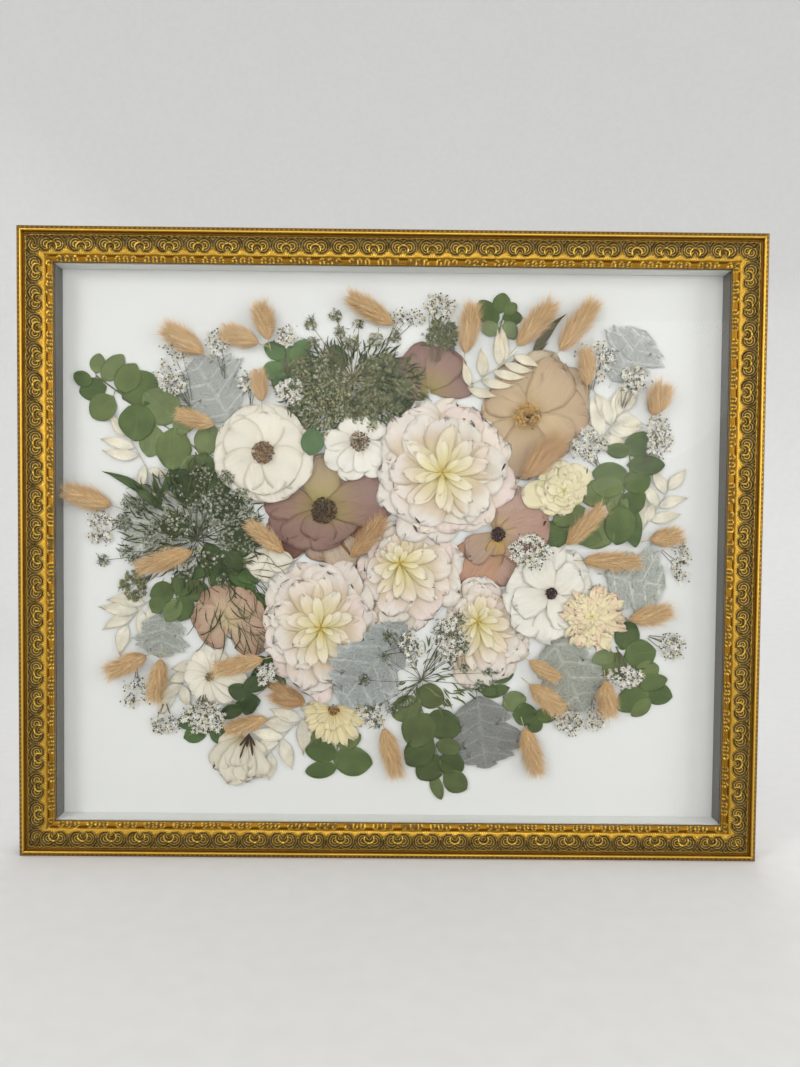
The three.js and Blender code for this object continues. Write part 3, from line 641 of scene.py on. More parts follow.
def polar(heading, reach):
    """A step of this length along a heading in degrees."""
    return np.array([math.cos(math.radians(heading)), math.sin(math.radians(heading))]) * reach


def rounded(width, peak, blunt, narrow):
    """Half widths of a petal that widens from a narrow base to a blunt end."""

    def half(t):
        grow = narrow + (1 - narrow) * np.sin(np.pi / 2 * np.minimum(t / peak, 1))
        close = np.sqrt(np.maximum(1 - (np.maximum(t - peak, 0) / (1 - peak)) ** blunt, 0))
        return width / 2 * np.maximum(grow * close, 0.03)

    return half


def oval(width):
    """Half widths of a round leaf."""
    return lambda t: width / 2 * np.maximum(np.sin(np.pi * t) ** 0.55, 0.03)


def lance(width):
    """Half widths of a narrow pointed leaf."""
    return lambda t: width / 2 * np.maximum(np.sin(np.pi * t**0.8) ** 1.15, 0.03)


def blade(mesh, base, heading, length, half, tint, material=PETAL, z=(0.0, 0.0), start=0.0, rows=11, columns=9,
          bend=0.0, cup=0.0, wave=0.4, rim=0.14, sharp=8, ragged=0.03, notch=0.0):
    """A petal or leaf from its base along its heading. half gives half widths by the place along it, and tint
    is one colour or a list of (place, colour)."""
    along = (1 - (1 - np.linspace(0, 1, rows)) ** 1.5)[:, None]
    s = np.linspace(-1, 1, columns)[None]
    a, b, c, d, e = rng.uniform(0, 2 * np.pi, 5)
    tip = ragged * (np.sin(5 * s + a) + 0.6 * np.sin(11 * s + b)) - notch * np.exp(-((s / 0.35) ** 2))
    r = length * (start + (1 - start) * along * (1 + tip * along**2))
    margin = 1 + ragged * (np.sin(9 * along + c + 2 * s) + 0.6 * np.sin(21 * along + d - 2 * s))
    across = half(along[:, 0])[:, None] * s * margin
    turn = np.radians(heading + bend * along**2)
    x = base[0] + r * np.cos(turn) - across * np.sin(turn)
    y = base[1] + r * np.sin(turn) + across * np.cos(turn)
    ripple = np.sin(3.1 * s + 4 * along + e) + 0.7 * np.sin(6.3 * s - 3 * along + a)
    lift = z[0] + (z[1] - z[0]) * along + cup * s**2 * np.sin(np.pi * along**0.8)
    lift = lift + wave * (0.5 + 0.3 * ripple) * along**0.7
    stops = tint if isinstance(tint, list) else [(0, tint)]
    colour = np.array([c for _, c in stops])
    colour = np.stack([np.interp(along[:, 0], [p for p, _ in stops], colour[:, k]) for k in range(3)], -1)
    # Painted shade along the margins and the tip: rim darkens and browns them in place of the thin shadows
    # between overlapping petals, and lightens them below zero.
    edge = np.maximum(np.abs(s), along) ** sharp
    colour = colour[:, None] * (1 - rim * edge[..., None] * np.array([0.8, 1.0, 1.3])) * rng.uniform(0.96, 1.03)
    mm = np.stack([across, r], -1) + rng.uniform(0, 500, 2)
    shape = np.stack([0.5 + 0.5 * s + 0 * along, along + 0 * s], -1)
    mesh.grid(np.stack([x, y, lift], -1), colour, material, mm, shape)


def tube(mesh, path, width, tint, z=0.3, taper=0.5, sides=5, step_mm=3.0):
    """A stem along a smooth path, pressed a little flat. z is its height where the path is flat."""
    length = np.sum(np.linalg.norm(np.diff(np.array(path, float), axis=0), axis=1))
    line = spline(path, max(3, int(length / step_mm) + 1))
    ahead = np.gradient(line[:, :2], axis=0)
    ahead /= np.linalg.norm(ahead, axis=1)[:, None] + 1e-9
    side = np.stack([-ahead[:, 1], ahead[:, 0]], -1)
    radius = width / 2 * np.linspace(1, taper, len(line))
    turn = np.linspace(0, 2 * np.pi, sides + 1)
    xy = line[:, None, :2] + side[:, None] * (radius[:, None] * np.cos(turn))[..., None]
    base = line[:, 2] if line.shape[1] > 2 else np.full(len(line), z)
    lift = base[:, None] + radius[:, None] * 0.8 * (1 + np.sin(turn))
    mesh.grid(np.concatenate([xy, lift[..., None]], -1), tint, FIBRE)


def star(petals):
    """A tiny flower of pointed petals round a raised heart."""
    points, faces = [[0, 0, 0.22]], []
    for k in range(petals):
        turn = 2 * math.pi * k / petals
        for reach, shift, z in ((0.55, -0.42, 0.1), (1, 0, 0), (0.55, 0.42, 0.1)):
            points.append([reach * math.cos(turn + shift), reach * math.sin(turn + shift), z])
        faces.append([0, 3 * k + 1, 3 * k + 2, 3 * k + 3])
    return np.array(points), np.array(faces)


FLORET = star(5)
SPECK = star(4)
BUD = (
    np.array([[1, 0, 0.6], [0, 0.8, 0.6], [-1, 0, 0.6], [0, -0.8, 0.6], [0, 0, 1.3], [0, 0, 0]]),
    np.array([[0, 1, 4], [1, 2, 4], [2, 3, 4], [3, 0, 4], [1, 0, 5], [2, 1, 5], [3, 2, 5], [0, 3, 5]]),
)


def scatter(mesh, shape, spots, size, tints):
    """Small copies at spots (n, 3). tints are colours to draw from."""
    n = len(spots)
    picked = np.array(tints)[rng.integers(0, len(tints), n)] * rng.uniform(0.85, 1.1, (n, 1))
    lean = rng.uniform(-0.4, 0.4, n)
    sizes = size * rng.uniform(0.7, 1.25, n)
    mesh.copies(*shape, spots, sizes, rng.uniform(0, 6.28, n), lean, picked, FIBRE)


def disc(hub, radius, count, z=0.0, hole=0.0, rise=0.0):
    """Points (count, 3) spread over a disc. hole is the empty share of its radius, rise how far it domes."""
    r = radius * np.sqrt(rng.uniform(hole**2, 1, count))
    a = rng.uniform(0, 2 * np.pi, count)
    lift = z + rise * (1 - (r / radius) ** 2) + rng.uniform(0, 0.5, count)
    return np.stack([hub[0] + r * np.cos(a), hub[1] + r * np.sin(a), lift], -1)


def stamens(mesh, hub, radius, z, tints, count, size, hole=0.0):
    """Filaments that spread from the hub and a crowded disc of anthers."""
    ends = disc(hub, radius, count, z + 0.5, hole, 0.6)
    for end in ends[:: max(1, count // 45)]:
        start = np.array([*hub, z])
        tube(mesh, [start, (start + end) / 2 + [0, 0, 0.3], end], 0.35, tints[0] * 0.9, sides=3, step_mm=4)
    scatter(mesh, BUD, ends, size, tints)


# ------------------------------------------------------------------ blooms
def reach_at(reach, heading):
    """How far a bloom reaches: given every 45 degrees from +x, counted anticlockwise."""
    return np.interp(heading % 360, np.arange(9) * 45, [*reach, reach[0]])


def rings(mesh, hub, reach, layers, tint_for, rise, first=0.0, form=None, **looks):
    """Rings of petals from the outermost in: (share of the reach, petals, width). first is the height of the
    outermost, rise the step to the next."""
    form = form or dict(peak=0.72, blunt=2.8, narrow=0.16)
    turn = rng.uniform(0, 30)
    for k, (share, count, width) in enumerate(layers):
        turn += 180 / count + rng.uniform(-6, 6)
        for j in range(count):
            heading = turn + 360 * j / count + rng.uniform(-9, 9)
            length = reach_at(reach, heading) * share * rng.uniform(0.9, 1.05)
            wide = width * rng.uniform(0.85, 1.15) * (0.5 + 0.5 * length / (np.mean(reach) * share))
            lift = first + rise * (k + 0.55 * (j % 2))
            blade(mesh, hub, heading, length, rounded(wide, **form), tint_for(share), start=0.03,
                  z=(lift + 0.3, lift), bend=rng.uniform(-10, 10), **looks)


def dahlia(name, hub, reach, scale=1.0):
    """Broad blush petals under a crown of long cream ones."""
    mesh = Mesh()
    blush = [lin(245, 232, 223), lin(243, 234, 223), lin(247, 232, 219), lin(244, 224, 216),
             lin(240, 230, 222)]
    cream = [lin(250, 237, 210), lin(248, 232, 198), lin(250, 238, 214)]

    def tint(share):
        outer = min(max((share - 0.45) / 0.35, 0), 1)
        tip = blush[rng.integers(0, 5)] * outer + cream[rng.integers(0, 3)] * (1 - outer)
        # On the outer petals middle is painted shade: warm beige just inside the tips, where the petals above
        # overlap them.
        middle = lin(222, 198, 168) * outer + lin(240, 226, 184) * (1 - outer)
        heart = 9 * scale / (np.mean(reach) * share)
        return [(0, lin(216, 188, 92)), (min(heart, 0.4), lin(232, 216, 156)), (0.62, middle), (0.88, tip)]

    def petals(layers, **more):
        layers = [(share, count, width * scale) for share, count, width in layers]
        rings(mesh, hub, reach, layers, tint, 1.0, wave=0.6, cup=0.5, ragged=0.04, notch=0.04, rim=0.05, **more)

    petals([(1.0, 11, 36), (0.93, 10, 35), (0.8, 9, 31)], sharp=14)
    petals([(0.7, 9, 18), (0.6, 8, 15), (0.46, 6, 10), (0.3, 5, 6)], sharp=10, first=2.2,
           form=dict(peak=0.66, blunt=1.7, narrow=0.12))
    for k in range(9):
        blade(mesh, hub, 40 * k + rng.uniform(-12, 12), rng.uniform(5, 9) * scale, lance(1.6),
              lin(216, 184, 84), z=(5.6, 5.4), rows=5, columns=3, wave=0.2)
    lay(name, mesh, [name], PETAL_THICK)


def poppy(name, hub, petals, stops, slot, heart=None, replaces=True, material=CREPE, form=None, **looks):
    """A few broad crumpled petals: (heading, length, width, and colours if they aren't stops). heart draws the
    stamens on a mesh from a height."""
    mesh = Mesh()
    form = form or dict(peak=0.72, blunt=2.6, narrow=0.22)
    for k, (heading, length, width, *own) in enumerate(petals):
        blade(mesh, hub, heading, length, rounded(width, **form), own[0] if own else stops, material, rows=12,
              columns=11, z=(0.5 + PETAL_STEP * k, 0.25 * k), start=0.03, bend=rng.uniform(-6, 6), **looks)
    if heart:
        heart(mesh, 0.5 + PETAL_STEP * len(petals))
    lay(name, mesh, [name] if replaces else [], PETAL_THICK)


# ------------------------------------------------------------------ sprays
def nearest_on(stem, x, y):
    """The place on a stem that is nearest to (x, y)."""
    line = spline(stem, 60)
    return line[np.argmin(np.hypot(line[:, 0] - x, line[:, 1] - y))]


GREENS = [lin(106, 120, 70), lin(92, 109, 60), lin(118, 131, 84), lin(82, 100, 53)]


def round_leaves(name, stem, leaves, tints=GREENS, replaces=True):
    """Leaves on short stalks: (x, y, half length, half width, heading)."""
    mesh = Mesh()
    tube(mesh, stem, 1.5, lin(110, 112, 78), z=0.2)
    for k, (x, y, long, short, heading) in enumerate(leaves):
        long, short = long * LONGER, short * WIDER
        tint = tints[rng.integers(0, len(tints))]
        root = nearest_on(stem, x, y)
        ahead = polar(heading, 1)
        if np.dot(ahead, np.array([x, y]) - root) < 0 and long > short * 0.9:
            heading, ahead = heading + 180, -ahead
        base = np.array([x, y]) - ahead * long
        tube(mesh, [root, (root + base) / 2 + rng.uniform(-0.8, 0.8, 2), base], 0.9, lin(120, 120, 86), z=0.4)
        stops = [(0, tint * 1.12), (0.3, tint), (1, tint * 0.95)]
        blade(mesh, base, heading, long * 2, oval(short * 2), stops, LEAF,
              z=(0.3 + 0.3 * (k % 3), 0.3 * (k % 3)), wave=0.9, rim=-0.2, sharp=10, ragged=0.015)
    lay(name, mesh, [name] if replaces else [], LEAF_THICK)


def pointed_leaves(name, stem, leaves, tint=lin(245, 238, 221), replaces=True,
                   material=BLEACHED):
    """Narrow leaves: (base x, base y, tip x, tip y, half width). Each grows from where the stem is nearest."""
    mesh = Mesh()
    tube(mesh, stem, 1.3, tint * 0.75, z=0.3)
    for k, (bx, by, tx, ty, half) in enumerate(leaves):
        root = nearest_on(stem, bx, by)
        ahead = np.array([tx, ty]) - root
        own = tint * rng.uniform(0.9, 1.03)
        blade(mesh, root, math.degrees(math.atan2(ahead[1], ahead[0])), np.hypot(*ahead), lance(half * 2.2),
              [(0, own * 0.8), (0.3, own), (1, own * np.array([0.97, 0.92, 0.84]))], material, rows=12,
              columns=7, z=(0.4, 0.4 + 0.3 * (k % 3)), bend=rng.uniform(-12, 12), wave=0.5, cup=0.9)
    lay(name, mesh, [name] if replaces else [], PETAL_THICK)


def felted_leaf(name, x, y, length, half, degrees, tint, lobes=7):
    """A leaf like grey felt: lobes along both sides of a midrib, each with a finely scalloped edge."""
    mesh = Mesh()
    t = np.linspace(0, 1, 64)[:, None]
    s = np.linspace(-1, 1, 35)[None]
    a, b = rng.uniform(-0.3, 0.3, 2)
    pairs = lobes / 2 + 0.5  # lobes on one side
    turn = np.pi * (pairs * t + 0.25 * a * np.sign(s))
    lobe = np.abs(np.sin(turn)) ** 0.5
    scallop = np.abs(np.sin(3 * turn + b)) ** 0.6
    side = np.abs(s)
    outline = np.sin(np.pi * np.clip(t, 0.004, 0.996) ** 0.74) ** 0.72
    across = half * 1.36 * s * outline * (1 - 0.6 * (1 - lobe) * side - 0.16 * (1 - scallop) * side**3)
    ahead = length * (t + 0.44 * side * (1 - t) * np.minimum(1, 3 * t))
    c, d = math.cos(math.radians(degrees)), math.sin(math.radians(degrees))
    px, py = x + ahead * c - across * d, y + ahead * d + across * c
    folds = 0.7 * lobe * side + 0.4 * np.sin(9 * t + 4 * s + a) + 0.6 * s**2
    ribs = np.exp(-(((lobe - 1) / 0.006) ** 2)) * (side < 0.9) + np.exp(-((s / 0.04) ** 2))
    twigs = np.abs(np.sin(4 * turn + 9 * side)) ** 14
    shade = 0.86 + 0.5 * side**16 + 0.34 * np.minimum(ribs, 1) + 0.12 * twigs + 0.12 * (lobe - 0.5) * side
    mesh.grid(np.stack([px, py, 0.8 + folds], -1), shade[..., None] * tint, FELT,
              np.stack([across + 0 * t, ahead], -1) + rng.uniform(0, 500, 2),
              np.stack([0.5 + 0.5 * s + 0 * t, t + 0 * s], -1))

    def vein(path, width, light, z, taper):
        tube(mesh, [(x + u * c - v * d, y + u * d + v * c) for u, v in path], width, tint * light, z, taper)

    vein([(-7, 0), (0, 0), (length * 0.8, 0)], 1.4, 1.2, 1.0, 0.2)
    for k in range(int(pairs)):
        along = length * (k + 0.2) / pairs * 0.8
        for out in (-half, half):
            vein([(along, 0), (along + 0.2 * half, 0.34 * out), (along + 0.56 * half, 0.72 * out)],
                 0.9, 1.25, 1.2, 0.3)
    lay(name, mesh, [name], FELT_THICK)


def umbel(name, hub, heads, florets, stalks, density, size, width=0.8):
    """Rays from one hub, each with a round head (x, y, radius) of florets on its own short rays."""
    mesh = Mesh()
    start = np.array([*hub, 1.6])
    for x, y, r in heads:
        end = np.array([x, y, rng.uniform(0.6, 1.6)])
        sway = rng.uniform(-0.06, 0.06) * np.array([hub[1] - y, x - hub[0], 0])
        tube(mesh, [start, (start + end) / 2 + sway, end], width, stalks * rng.uniform(0.8, 1.2), taper=0.6)
        n = max(9, int(density * r * r * 3.1))
        spots = disc((x, y), r * 1.15, n, 0.9, rise=1.0)
        for spot in spots[:: max(1, n // 10)]:
            tube(mesh, [end, (end + spot) / 2 + [0, 0, 0.3], spot], 0.35, stalks * 1.1, sides=3, step_mm=5)
        scatter(mesh, SPECK, spots, size, florets)
        scatter(mesh, BUD, disc((x, y), r, n // 3, 0.8), 0.6, [stalks * 0.7, stalks])
        for spot in disc((x, y), r * 1.3, int(r * 1.6), 0.5):
            blade(mesh, spot[:2], rng.uniform(0, 360), rng.uniform(3, 7), lance(0.7), florets[0] * 0.8, FIBRE,
                  z=(spot[2], spot[2] + 0.6), rows=4, columns=3, wave=0.2, rim=0)
    for k in range(9):
        tip = np.array(hub) + polar(40 * k + rng.uniform(-15, 15), rng.uniform(8, 15))
        middle = (np.array(hub) + tip) / 2 + rng.uniform(-1, 1, 2)
        tube(mesh, [hub, middle, tip], 0.6, stalks * 1.1, z=1.6, sides=3)
    lay(name, mesh, [name], cover=False)


def middle_and_half(area):
    """area is x from, x to, y from, y to."""
    low, high = np.array(area)[[0, 2]], np.array(area)[[1, 3]]
    return (low + high) / 2, (high - low) / 2


def feathers(name, hub, area, count, tints, length=(7, 14), width=1.7):
    """Fine pointed leaflets over an area, which fan out from a hub."""
    mesh = Mesh()
    middle, half = middle_and_half(area)
    for spot in middle + disc((0, 0), 1, count)[:, :2] * half:
        ahead = math.degrees(math.atan2(*(spot - hub)[::-1])) + rng.uniform(-40, 40)
        tint = tints[rng.integers(0, len(tints))] * rng.uniform(0.8, 1.15)
        blade(mesh, spot, ahead, rng.uniform(*length), lance(width * rng.uniform(0.7, 1.2)), tint, FIBRE,
              z=(0.3, 0.9), rows=6, columns=3, wave=0.3, rim=0, bend=rng.uniform(-30, 30))
    lay(name, mesh, cover=False)


FLORET_TINTS = [lin(246, 242, 230), lin(240, 232, 208), lin(250, 248, 242)]
BUD_TINTS = [lin(78, 62, 38), lin(98, 86, 50), lin(124, 104, 68)]


def sprig(name, root, area, count, petals=FLORET_TINTS, dark=BUD_TINTS, stalk=lin(98, 90, 58), size=2.5,
          green=None):
    """Tiny flowers and buds over an area, in clusters on thin branching stalks, with leaves where green is
    given."""
    mesh = Mesh()
    count = int(count * FULLER)
    middle, half = middle_and_half(area)
    forks = middle + disc((0, 0), 0.75, max(3, count // 11))[:, :2] * half
    spots = middle + disc((0, 0), 1, count)[:, :2] * half
    near = np.argmin(np.linalg.norm(spots[:, None] - forks[None], axis=2), 1)
    spots = spots * 0.8 + forks[near] * 0.2
    spots = np.c_[spots, rng.uniform(0.8, 3.0, count)]
    for k, fork in enumerate(forks):
        start = np.array(root) + (fork - root) * 0.25
        middle = (start + fork) / 2 + rng.uniform(-2, 2, 2)
        tube(mesh, [start, middle, fork], 0.7, stalk * rng.uniform(0.75, 1.2), 0.6 + 0.2 * (k % 3), sides=4)
    for spot, k in zip(spots, near):
        middle = (forks[k] + spot[:2]) / 2 + rng.uniform(-1, 1, 2)
        tube(mesh, [forks[k], middle, spot[:2]], 0.4, stalk * rng.uniform(0.8, 1.3), 1.0, sides=3, step_mm=4)
    if green is not None:
        for k in range(count // 2):
            spot = spots[rng.integers(0, count), :2] + rng.uniform(-2, 2, 2)
            ahead = math.degrees(math.atan2(*(spot - root)[::-1]))
            blade(mesh, spot, ahead + rng.uniform(-60, 60), rng.uniform(3, 6), lance(1.6), green, LEAF,
                  z=(1.0, 1.6), rows=4, columns=3, wave=0.2, rim=0)
    for wide in (1.4, 2.4):
        scatter(mesh, BUD, spots + rng.normal(0, wide, (count, 3)) * [1, 1, 0.2] - [0, 0, 0.2], 0.95, dark)
    scatter(mesh, FLORET, spots, size, petals)
    scatter(mesh, FLORET, spots + rng.normal(0, 1.6, (count, 3)) * [1, 1, 0.2], size * 0.8, petals)
    lay(name, mesh, cover=False)


def tail(name, base, tip, width, replaces=(), tint=lin(238, 184, 120), light=lin(253, 226, 182)):
    """A bunny tail: an egg of soft hairs that all sweep towards its tip, from dark roots to light ends."""
    mesh = Mesh()
    base, tip = np.array(base, float), np.array(tip, float)
    length = np.hypot(*(tip - base))
    ahead = (tip - base) / length
    side = np.array([-ahead[1], ahead[0]])
    tall = 0.27 * width
    stalk = base - ahead * width * 0.5
    tube(mesh, [stalk, base, base + ahead * 3], 0.9, lin(206, 186, 130), z=tall * 0.6)

    def surface(t, a):
        """Points of the egg at the share t of its length and the angle a round it."""
        half = 0.28 * width * np.maximum(np.sin(np.pi * np.clip(t, 0, 1) ** 0.82), 0.0) ** 0.55
        xy = base + ahead * (t * length * 0.9)[..., None] + side * (half * np.cos(a))[..., None]
        z = tall * (1 + np.sin(a) * half / (0.28 * width))
        return np.concatenate([xy, z[..., None]], -1)

    t, a = np.meshgrid(np.linspace(0.0, 1, 13), np.linspace(0, 2 * np.pi, 15), indexing="ij")
    mesh.grid(surface(t, a), tint * 0.75, FUR)
    t = rng.uniform(0.0, 0.97, HAIRS)
    on_top = rng.uniform(0, 1, HAIRS) < 0.8
    a = np.where(on_top, rng.uniform(-0.35, np.pi + 0.35, HAIRS), rng.uniform(np.pi, 6.28, HAIRS))
    root = surface(t, a)
    normal = np.c_[side * np.cos(a)[:, None], 0.55 * np.sin(a)]
    spread = np.radians(rng.uniform(8, 36, HAIRS))[:, None]
    way = np.r_[ahead, 0] * np.cos(spread) + normal * np.sin(spread) + rng.normal(0, 0.09, (HAIRS, 3))
    is_long = rng.uniform(0, 1, HAIRS) < 0.25
    long = width * np.where(is_long, rng.uniform(0.55, 0.8, HAIRS), rng.uniform(0.34, 0.55, HAIRS))[:, None]
    middle = root + way * long * 0.5
    end = root + way * long + normal * long * rng.uniform(-0.02, 0.14, (HAIRS, 1))
    thin = np.cross(way, [0, 0, 1.0])
    thin /= np.linalg.norm(thin, axis=1)[:, None] + 1e-6
    wide, narrow = thin * 0.14, thin * 0.1
    points = np.stack([root - wide, root + wide, middle + narrow, middle - narrow, end], 1)
    fade = rng.uniform(0, 1, (HAIRS, 1)) ** 1.2
    own = tint * (1 - fade) + light * fade
    own = own * (0.92 + 0.16 * np.sin(9 * a + 14 * t + rng.uniform(0, 6))[:, None])
    colour = own[:, None] * np.array([0.74, 0.74, 1.0, 1.0, 1.12])[:, None]
    i = np.arange(HAIRS)[:, None] * 5
    mesh.add(points.reshape(-1, 3), i + [0, 1, 2, 3], colour.reshape(-1, 3), FUR)
    mesh.also(i + [3, 2, 4], FUR, HAIRS * 5)
    lay(name, mesh, replaces, cover=False, reach=2)


# ------------------------------------------------------------------ leaves and sprays on the board
GREY = lin(176, 178, 173)
felted_leaf("dusty_miller_left", -172, 15, 74, 30, 174, lin(184, 185, 176))
pointed_leaves("ruscus_upper_left", [[-210, 48], [-222, 68], [-233, 88], [-242, 104]],
    [[-233, 88, -264, 96, 5], [-238, 98, -258, 116, 5], [-230, 80, -262, 80, 5], [-226, 72, -229, 45, 4],
    [-222, 68, -200, 62, 4], [-216, 58, -204, 40, 4]])
pointed_leaves("ruscus_left", [[-214, -47], [-226, -56], [-236, -68], [-244, -82]],
    [[-224, -54, -258, -46, 6], [-230, -60, -266, -60, 6], [-234, -66, -264, -74, 5],
    [-240, -74, -252, -100, 6], [-228, -60, -220, -96, 6], [-218, -52, -214, -86, 5]])
pointed_leaves("ruscus_bottom", [[-77, -157], [-88, -166], [-98, -177], [-110, -192]],
    [[-80, -158, -76, -192, 7], [-82, -158, -110, -152, 6], [-88, -165, -116, -163, 7],
    [-98, -176, -128, -172, 6], [-102, -181, -130, -186, 5], [-98, -178, -90, -206, 6],
    [-110, -190, -108, -216, 5]])
pointed_leaves("ruscus_right", [[220, 4], [234, 24], [246, 42], [256, 62]],
    [[217, 6, 213, 29, 5], [228, 14, 228, 50, 5], [234, 25, 236, 42, 5], [242, 38, 231, 62, 5],
    [250, 50, 238, 74, 5], [236, 26, 264, 32, 5], [244, 38, 268, 50, 5], [252, 54, 268, 72, 5]])
pointed_leaves("ruscus_upper_right", [[190, 97], [200, 113], [208, 130]],
    [[192, 100, 179, 138, 6], [199, 112, 186, 144, 6], [203, 120, 206, 146, 6], [207, 124, 222, 146, 7],
    [200, 112, 194, 138, 6], [206, 122, 214, 148, 6], [201, 110, 222, 108, 6], [203, 116, 228, 118, 6],
    [197, 106, 228, 108, 6], [194, 98, 214, 96, 5], [189, 96, 160, 118, 5]])
pointed_leaves("ruscus_low_left", [[-176, -108], [-188, -124], [-200, -142], [-208, -156]],
    [[-178, -110, -200, -114, 5], [-184, -119, -202, -126, 5], [-190, -128, -212, -142, 5],
    [-196, -136, -216, -156, 5], [-190, -128, -184, -150, 5], [-180, -114, -172, -140, 5]], replaces=False)
felted_leaf("dusty_miller_top_left", -146, 113, 64, 29, 122, GREY)
felted_leaf("dusty_miller_top_right", 200, 152, 54, 24, 58, lin(190, 191, 187))
felted_leaf("dusty_miller_right", 196, -24, 56, 27, -10, lin(186, 188, 180))
felted_leaf("dusty_miller_low_left", -205, -62, 42, 20, -98, lin(170, 172, 164))
felted_leaf("dusty_miller_bottom", 80, -137, 67, 31, -82, lin(142, 142, 138), lobes=8)
felted_leaf("dusty_miller_lower_right", 148, -82, 74, 28, -66, lin(170, 171, 160), lobes=8)

pointed_leaves("blades_left", [[-214, 42], [-207, 30]], [[-232, 47, -259, 70, 4], [-206, 31, -236, 60, 4],
    [-178, 56, -179, 108, 4], [-200, 38, -214, 64, 3]], lin(84, 104, 62), False, LEAF)
pointed_leaves("blade_top", [[125, 172], [136, 190]], [[126, 173, 150, 215, 4], [118, 165, 138, 188, 3]],
    lin(98, 92, 56), False, LEAF)
pointed_leaves("blades_middle_left", [[-152, -10], [-135, -45], [-112, -72]],
    [[-150, -10, -128, -44, 8], [-145, -20, -118, -62, 9], [-140, -30, -104, -24, 8], [-135, -40, -100, -78, 9],
    [-130, -45, -104, -58, 8], [-146, -12, -166, -44, 8], [-120, -58, -112, -84, 8], [-150, -8, -112, 10, 9],
    [-156, -6, -186, -30, 8], [-148, -4, -130, 18, 8]], lin(78, 104, 50), False, LEAF)
round_leaves("eucalyptus_top_left", [[-268, 152], [-246, 136], [-231, 126], [-215, 113], [-196, 101],
    [-181, 90]], [[-267, 163, 8, 6, 80], [-253, 159, 13, 8, 50], [-280, 149, 8, 6, 150], [-271, 140, 11, 9, 10],
    [-262, 124, 12, 11, 45], [-240, 150, 13, 10, 60], [-229, 141, 16, 14, 30], [-209, 125, 17, 15, 140],
    [-231, 111, 15, 14, 80], [-218, 94, 13, 10, 80], [-198, 87, 17, 14, 90], [-188, 112, 12, 9, 60],
    [-168, 95, 13, 10, 70], [-160, 66, 12, 9, 90], [-182, 70, 12, 8, 60]])
round_leaves("eucalyptus_top", [[93, 176], [96, 195], [100, 210], [103, 216]],
    [[86, 212, 12, 8, 125], [98, 221, 8, 7, 80], [106, 216, 6, 5, 40], [108, 208, 8, 6, 0],
    [106, 197, 8, 6, -60], [88, 198, 8, 6, 160]])
round_leaves("eucalyptus_right", [[215, 96], [217, 73], [213, 55], [204, 37], [188, 22], [162, 10], [146, 8]],
    [[226, 95, 15, 10, 15], [206, 89, 10, 6, -5], [231, 76, 15, 8, 0], [200, 67, 15, 10, -10],
    [223, 61, 11, 10, 20], [197, 56, 13, 9, 0], [219, 42, 12, 9, 30], [187, 50, 13, 11, 20],
    [208, 22, 16, 12, 80], [219, 22, 18, 8, -80], [190, 14, 16, 12, 30], [162, 30, 14, 9, 25],
    [148, 12, 14, 11, 10], [132, 6, 9, 8, 10], [176, 14, 15, 10, -20], [206, 40, 12, 9, 110]])
round_leaves("eucalyptus_lower_right", [[207, -90], [214, -105], [226, -122], [237, -136]],
    [[217, -80, 12, 10, 70], [229, -97, 13, 12, 10], [196, -100, 10, 6, 10], [206, -108, 12, 10, 70],
    [236, -113, 10, 9, 20], [241, -123, 12, 7, 15], [246, -133, 12, 9, -15], [223, -138, 15, 10, 30],
    [231, -146, 10, 6, 40]])
round_leaves("eucalyptus_low_middle", [[104, -137], [114, -150], [124, -164]],
    [[98, -132, 11, 5, 15], [114, -141, 10, 8, 20], [124, -153, 10, 9, 0], [134, -163, 7, 6, 60],
    [144, -153, 10, 7, 10]])
round_leaves("eucalyptus_bottom", [[22, -132], [31, -153], [38, -170], [44, -190], [50, -208]],
    [[37, -137, 12, 10, -20], [16, -149, 13, 11, 30], [27, -168, 15, 14, 60], [49, -163, 15, 12, -20],
    [28, -189, 14, 12, 40], [54, -183, 10, 7, -10], [38, -203, 13, 11, 45], [57, -199, 11, 10, -30],
    [61, -216, 11, 9, -30], [44, -221, 11, 5, 110]], [lin(88, 100, 56), lin(76, 90, 48), lin(98, 110, 66)])
round_leaves("eucalyptus_bottom_left", [[-46, -174], [-48, -188], [-48, -202]],
    [[-64, -176, 7, 8, 0], [-62, -189, 13, 9, -10], [-38, -178, 11, 8, 20], [-34, -198, 16, 12, -10],
    [-62, -206, 13, 7, 10]])
round_leaves("eucalyptus_low_left", [[-200, -30], [-196, -46], [-190, -64]],
    [[-208, -44, 10, 9, 10], [-212, -55, 7, 7, 60], [-190, -37, 10, 9, 90], [-177, -42, 10, 9, 0],
    [-189, -58, 11, 9, 80], [-198, -60, 10, 7, 60]])
round_leaves("leaves_behind_rose", [[-80, 118], [-92, 140], [-100, 165], [-104, 178]],
    [[-95, 168, 12, 9, 100], [-106, 176, 10, 7, 150], [-84, 176, 11, 7, 50], [-108, 158, 9, 8, 190],
    [-86, 156, 12, 9, 40], [-98, 146, 10, 8, 170], [-80, 130, 12, 8, 60], [-90, 118, 10, 8, 120]],
    [lin(92, 122, 66), lin(82, 112, 60)], False)
round_leaves("leaves_bottom_left", [[-150, -160], [-168, -166], [-182, -172]],
    [[-178, -174, 10, 7, 200], [-158, -172, 9, 6, 270], [-186, -164, 8, 5, 160], [-130, -144, 10, 7, 190],
    [-118, -122, 10, 8, 100], [-104, -88, 11, 7, 140]], [lin(84, 110, 62)], False)
round_leaves("leaves_under_middle", [[-14, 66], [-6, 50], [0, 30]],
    [[-18, 66, 12, 9, 150], [0, 64, 12, 9, 30], [-12, 48, 12, 10, 200], [4, 42, 11, 9, -10],
    [-44, -16, 11, 9, 250], [-34, -8, 12, 9, 300]], [lin(70, 90, 48), lin(60, 80, 42)], False)
